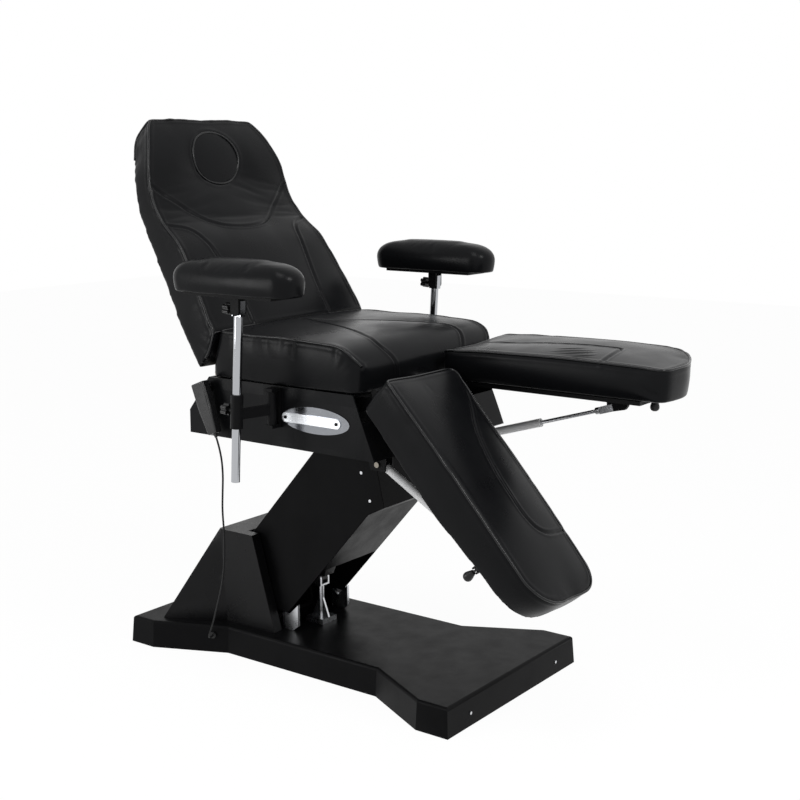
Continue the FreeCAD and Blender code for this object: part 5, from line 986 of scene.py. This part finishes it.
def pad_shape(co, low, high):
    """The rim hangs a little over the edge of the board."""
    co = co.copy()
    rho = np.hypot(*((co[:, k] * 2 - low[k] - high[k]) / (high[k] - low[k]) for k in (0, 1)))
    co[:, 2] -= PAD_WRAP * ramp(rho, *PAD_RIM_SHARES) \
        * (1 - ramp(co[:, 2], low.z, low.z + PAD_WRAP_UP))
    return co


for side in ("near", "far"):
    low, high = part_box("arm_pad_" + side)
    cushion("arm_pad_" + side, "pad_upholstery_" + side, "pad_" + side, voxel=0.0055,
            shrink=0.002, cap=0.005, edges=[], seams=[],
            flat=lambda co, low=low: co[:, 2] < low.z + BOARD_SKIN,
            shape=lambda co, low=low, high=high: pad_shape(co, low, high))


# HANDSET AND CORD
# A moulded handset with two grey keys hangs on a hook at the skirt. Its lead leaves through
# a tapered relief, hangs behind the lift arm and enters the base through a grommet.
KEY = moulding("grey_key", (0.09, 0.094, 0.1), 0.4)
RUBBER = moulding("cord_sheath", MOULDED_BLACK, 0.5)
GLOSS = moulding("handset_plastic", MOULDED_BLACK, 0.2, gloss=0.5, grain=0.03)
HANDSET_EDGE, HANDSET_EDGE_ANGLE = 0.0012, 30
eased_copy("handset_body", "handset_shell", "seat", GLOSS, HANDSET_EDGE, HANDSET_EDGE_ANGLE)
dress(PLASTIC, "handset_hook", "cord_grommet")
dress(KEY, "handset_key_lift", "handset_key_back")
CORD = (
    (-0.318, 0.1682, 0.64236), (-0.318, 0.1543, 0.607), (-0.316, 0.150, 0.553),
    (-0.312, 0.157, 0.501), (-0.309, 0.163, 0.449), (-0.307, 0.161, 0.397),
    (-0.305, 0.163, 0.345), (-0.302, 0.169, 0.293), (-0.297, 0.182, 0.243),
    (-0.289, 0.203, 0.197), (-0.279, 0.226, 0.154), (-0.267, 0.249, 0.112),
    (-0.2598, 0.2814, 0.050), (-0.22153, 0.29864, 0.050),
)
CORD_DIAMETER = 0.005
CORD_SIDES = 12
route = spline_points(CORD, 10)
cord = piece("handset_lead", tube(route, CORD_DIAMETER / 2, CORD_SIDES), "base", RUBBER)
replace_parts(cord, "handset_cord")
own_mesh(cord)


# STUDIO
# A pale floor that looks white and keeps the chair's shadow, under a white sky. Three soft
# boxes light the chair: one in front, one overhead and one at the near side.
FLOOR_HALF = 9
FLOOR_PALE = (0.86, 0.86, 0.86)
FLOOR_GLOW = 1.04
FLOOR_GLOW_SHARE = 0.92
SOFT_SKY = 0.3
WHITE = (1, 1, 1, 1)
made = bmesh.new()
bmesh.ops.create_grid(made, x_segments=1, y_segments=1, size=FLOOR_HALF)
ground = taken(made, "floor")
floor = bpy.data.objects.new("floor", ground)
scene.collection.objects.link(floor)
pale = Paint("pale_floor", FLOOR_PALE, 0.7, gloss=0.1)
pale.feed(Roughness=pale.span(pale.noise(3, 2.0), 0.65, 0.75))
bright = pale.node("ShaderNodeEmission", {"Color": WHITE, "Strength": FLOOR_GLOW})
mixed = pale.node("ShaderNodeMixShader", (pale.seen() * FLOOR_GLOW_SHARE,
                                          Field(pale, pale.shader.outputs[0]), bright))
pale.tree.links.new(mixed.socket, pale.tree.nodes["Material Output"].inputs["Surface"])
ground.materials.append(pale.material)
world = bpy.data.worlds.new("studio")
world.use_nodes = True
sky = Graph(world.node_tree)
backdrop = world.node_tree.nodes["Background"]
backdrop.inputs["Color"].default_value = WHITE
strength = 1 - (1 - sky.seen()) * (1 - SOFT_SKY)
world.node_tree.links.new(strength.socket, backdrop.inputs["Strength"])
scene.world = world
scene.view_settings.view_transform = "Standard"


def soft_box(name, place, target, size, power):
    """A rectangular lamp that looks at a point on the chair."""
    light = bpy.data.lights.new(name, "AREA")
    light.shape = "RECTANGLE"
    light.size, light.size_y = size
    light.energy = power
    item = bpy.data.objects.new(name, light)
    scene.collection.objects.link(item)
    item.location = place
    item.rotation_euler = (Vector(target) - Vector(place)).to_track_quat("-Z", "Y").to_euler()


soft_box("front_light", (-0.4, -2.5, 2.9), (0, -0.3, 0.7), (0.7, 0.7), 32)
soft_box("top_light", (-1.4, -0.6, 3.3), (0, 0, 0.7), (1.2, 1.2), 20)
soft_box("side_light", (-3.0, 1.9, 1.1), (0, 0, 0.8), (0.9, 1.3), 27)
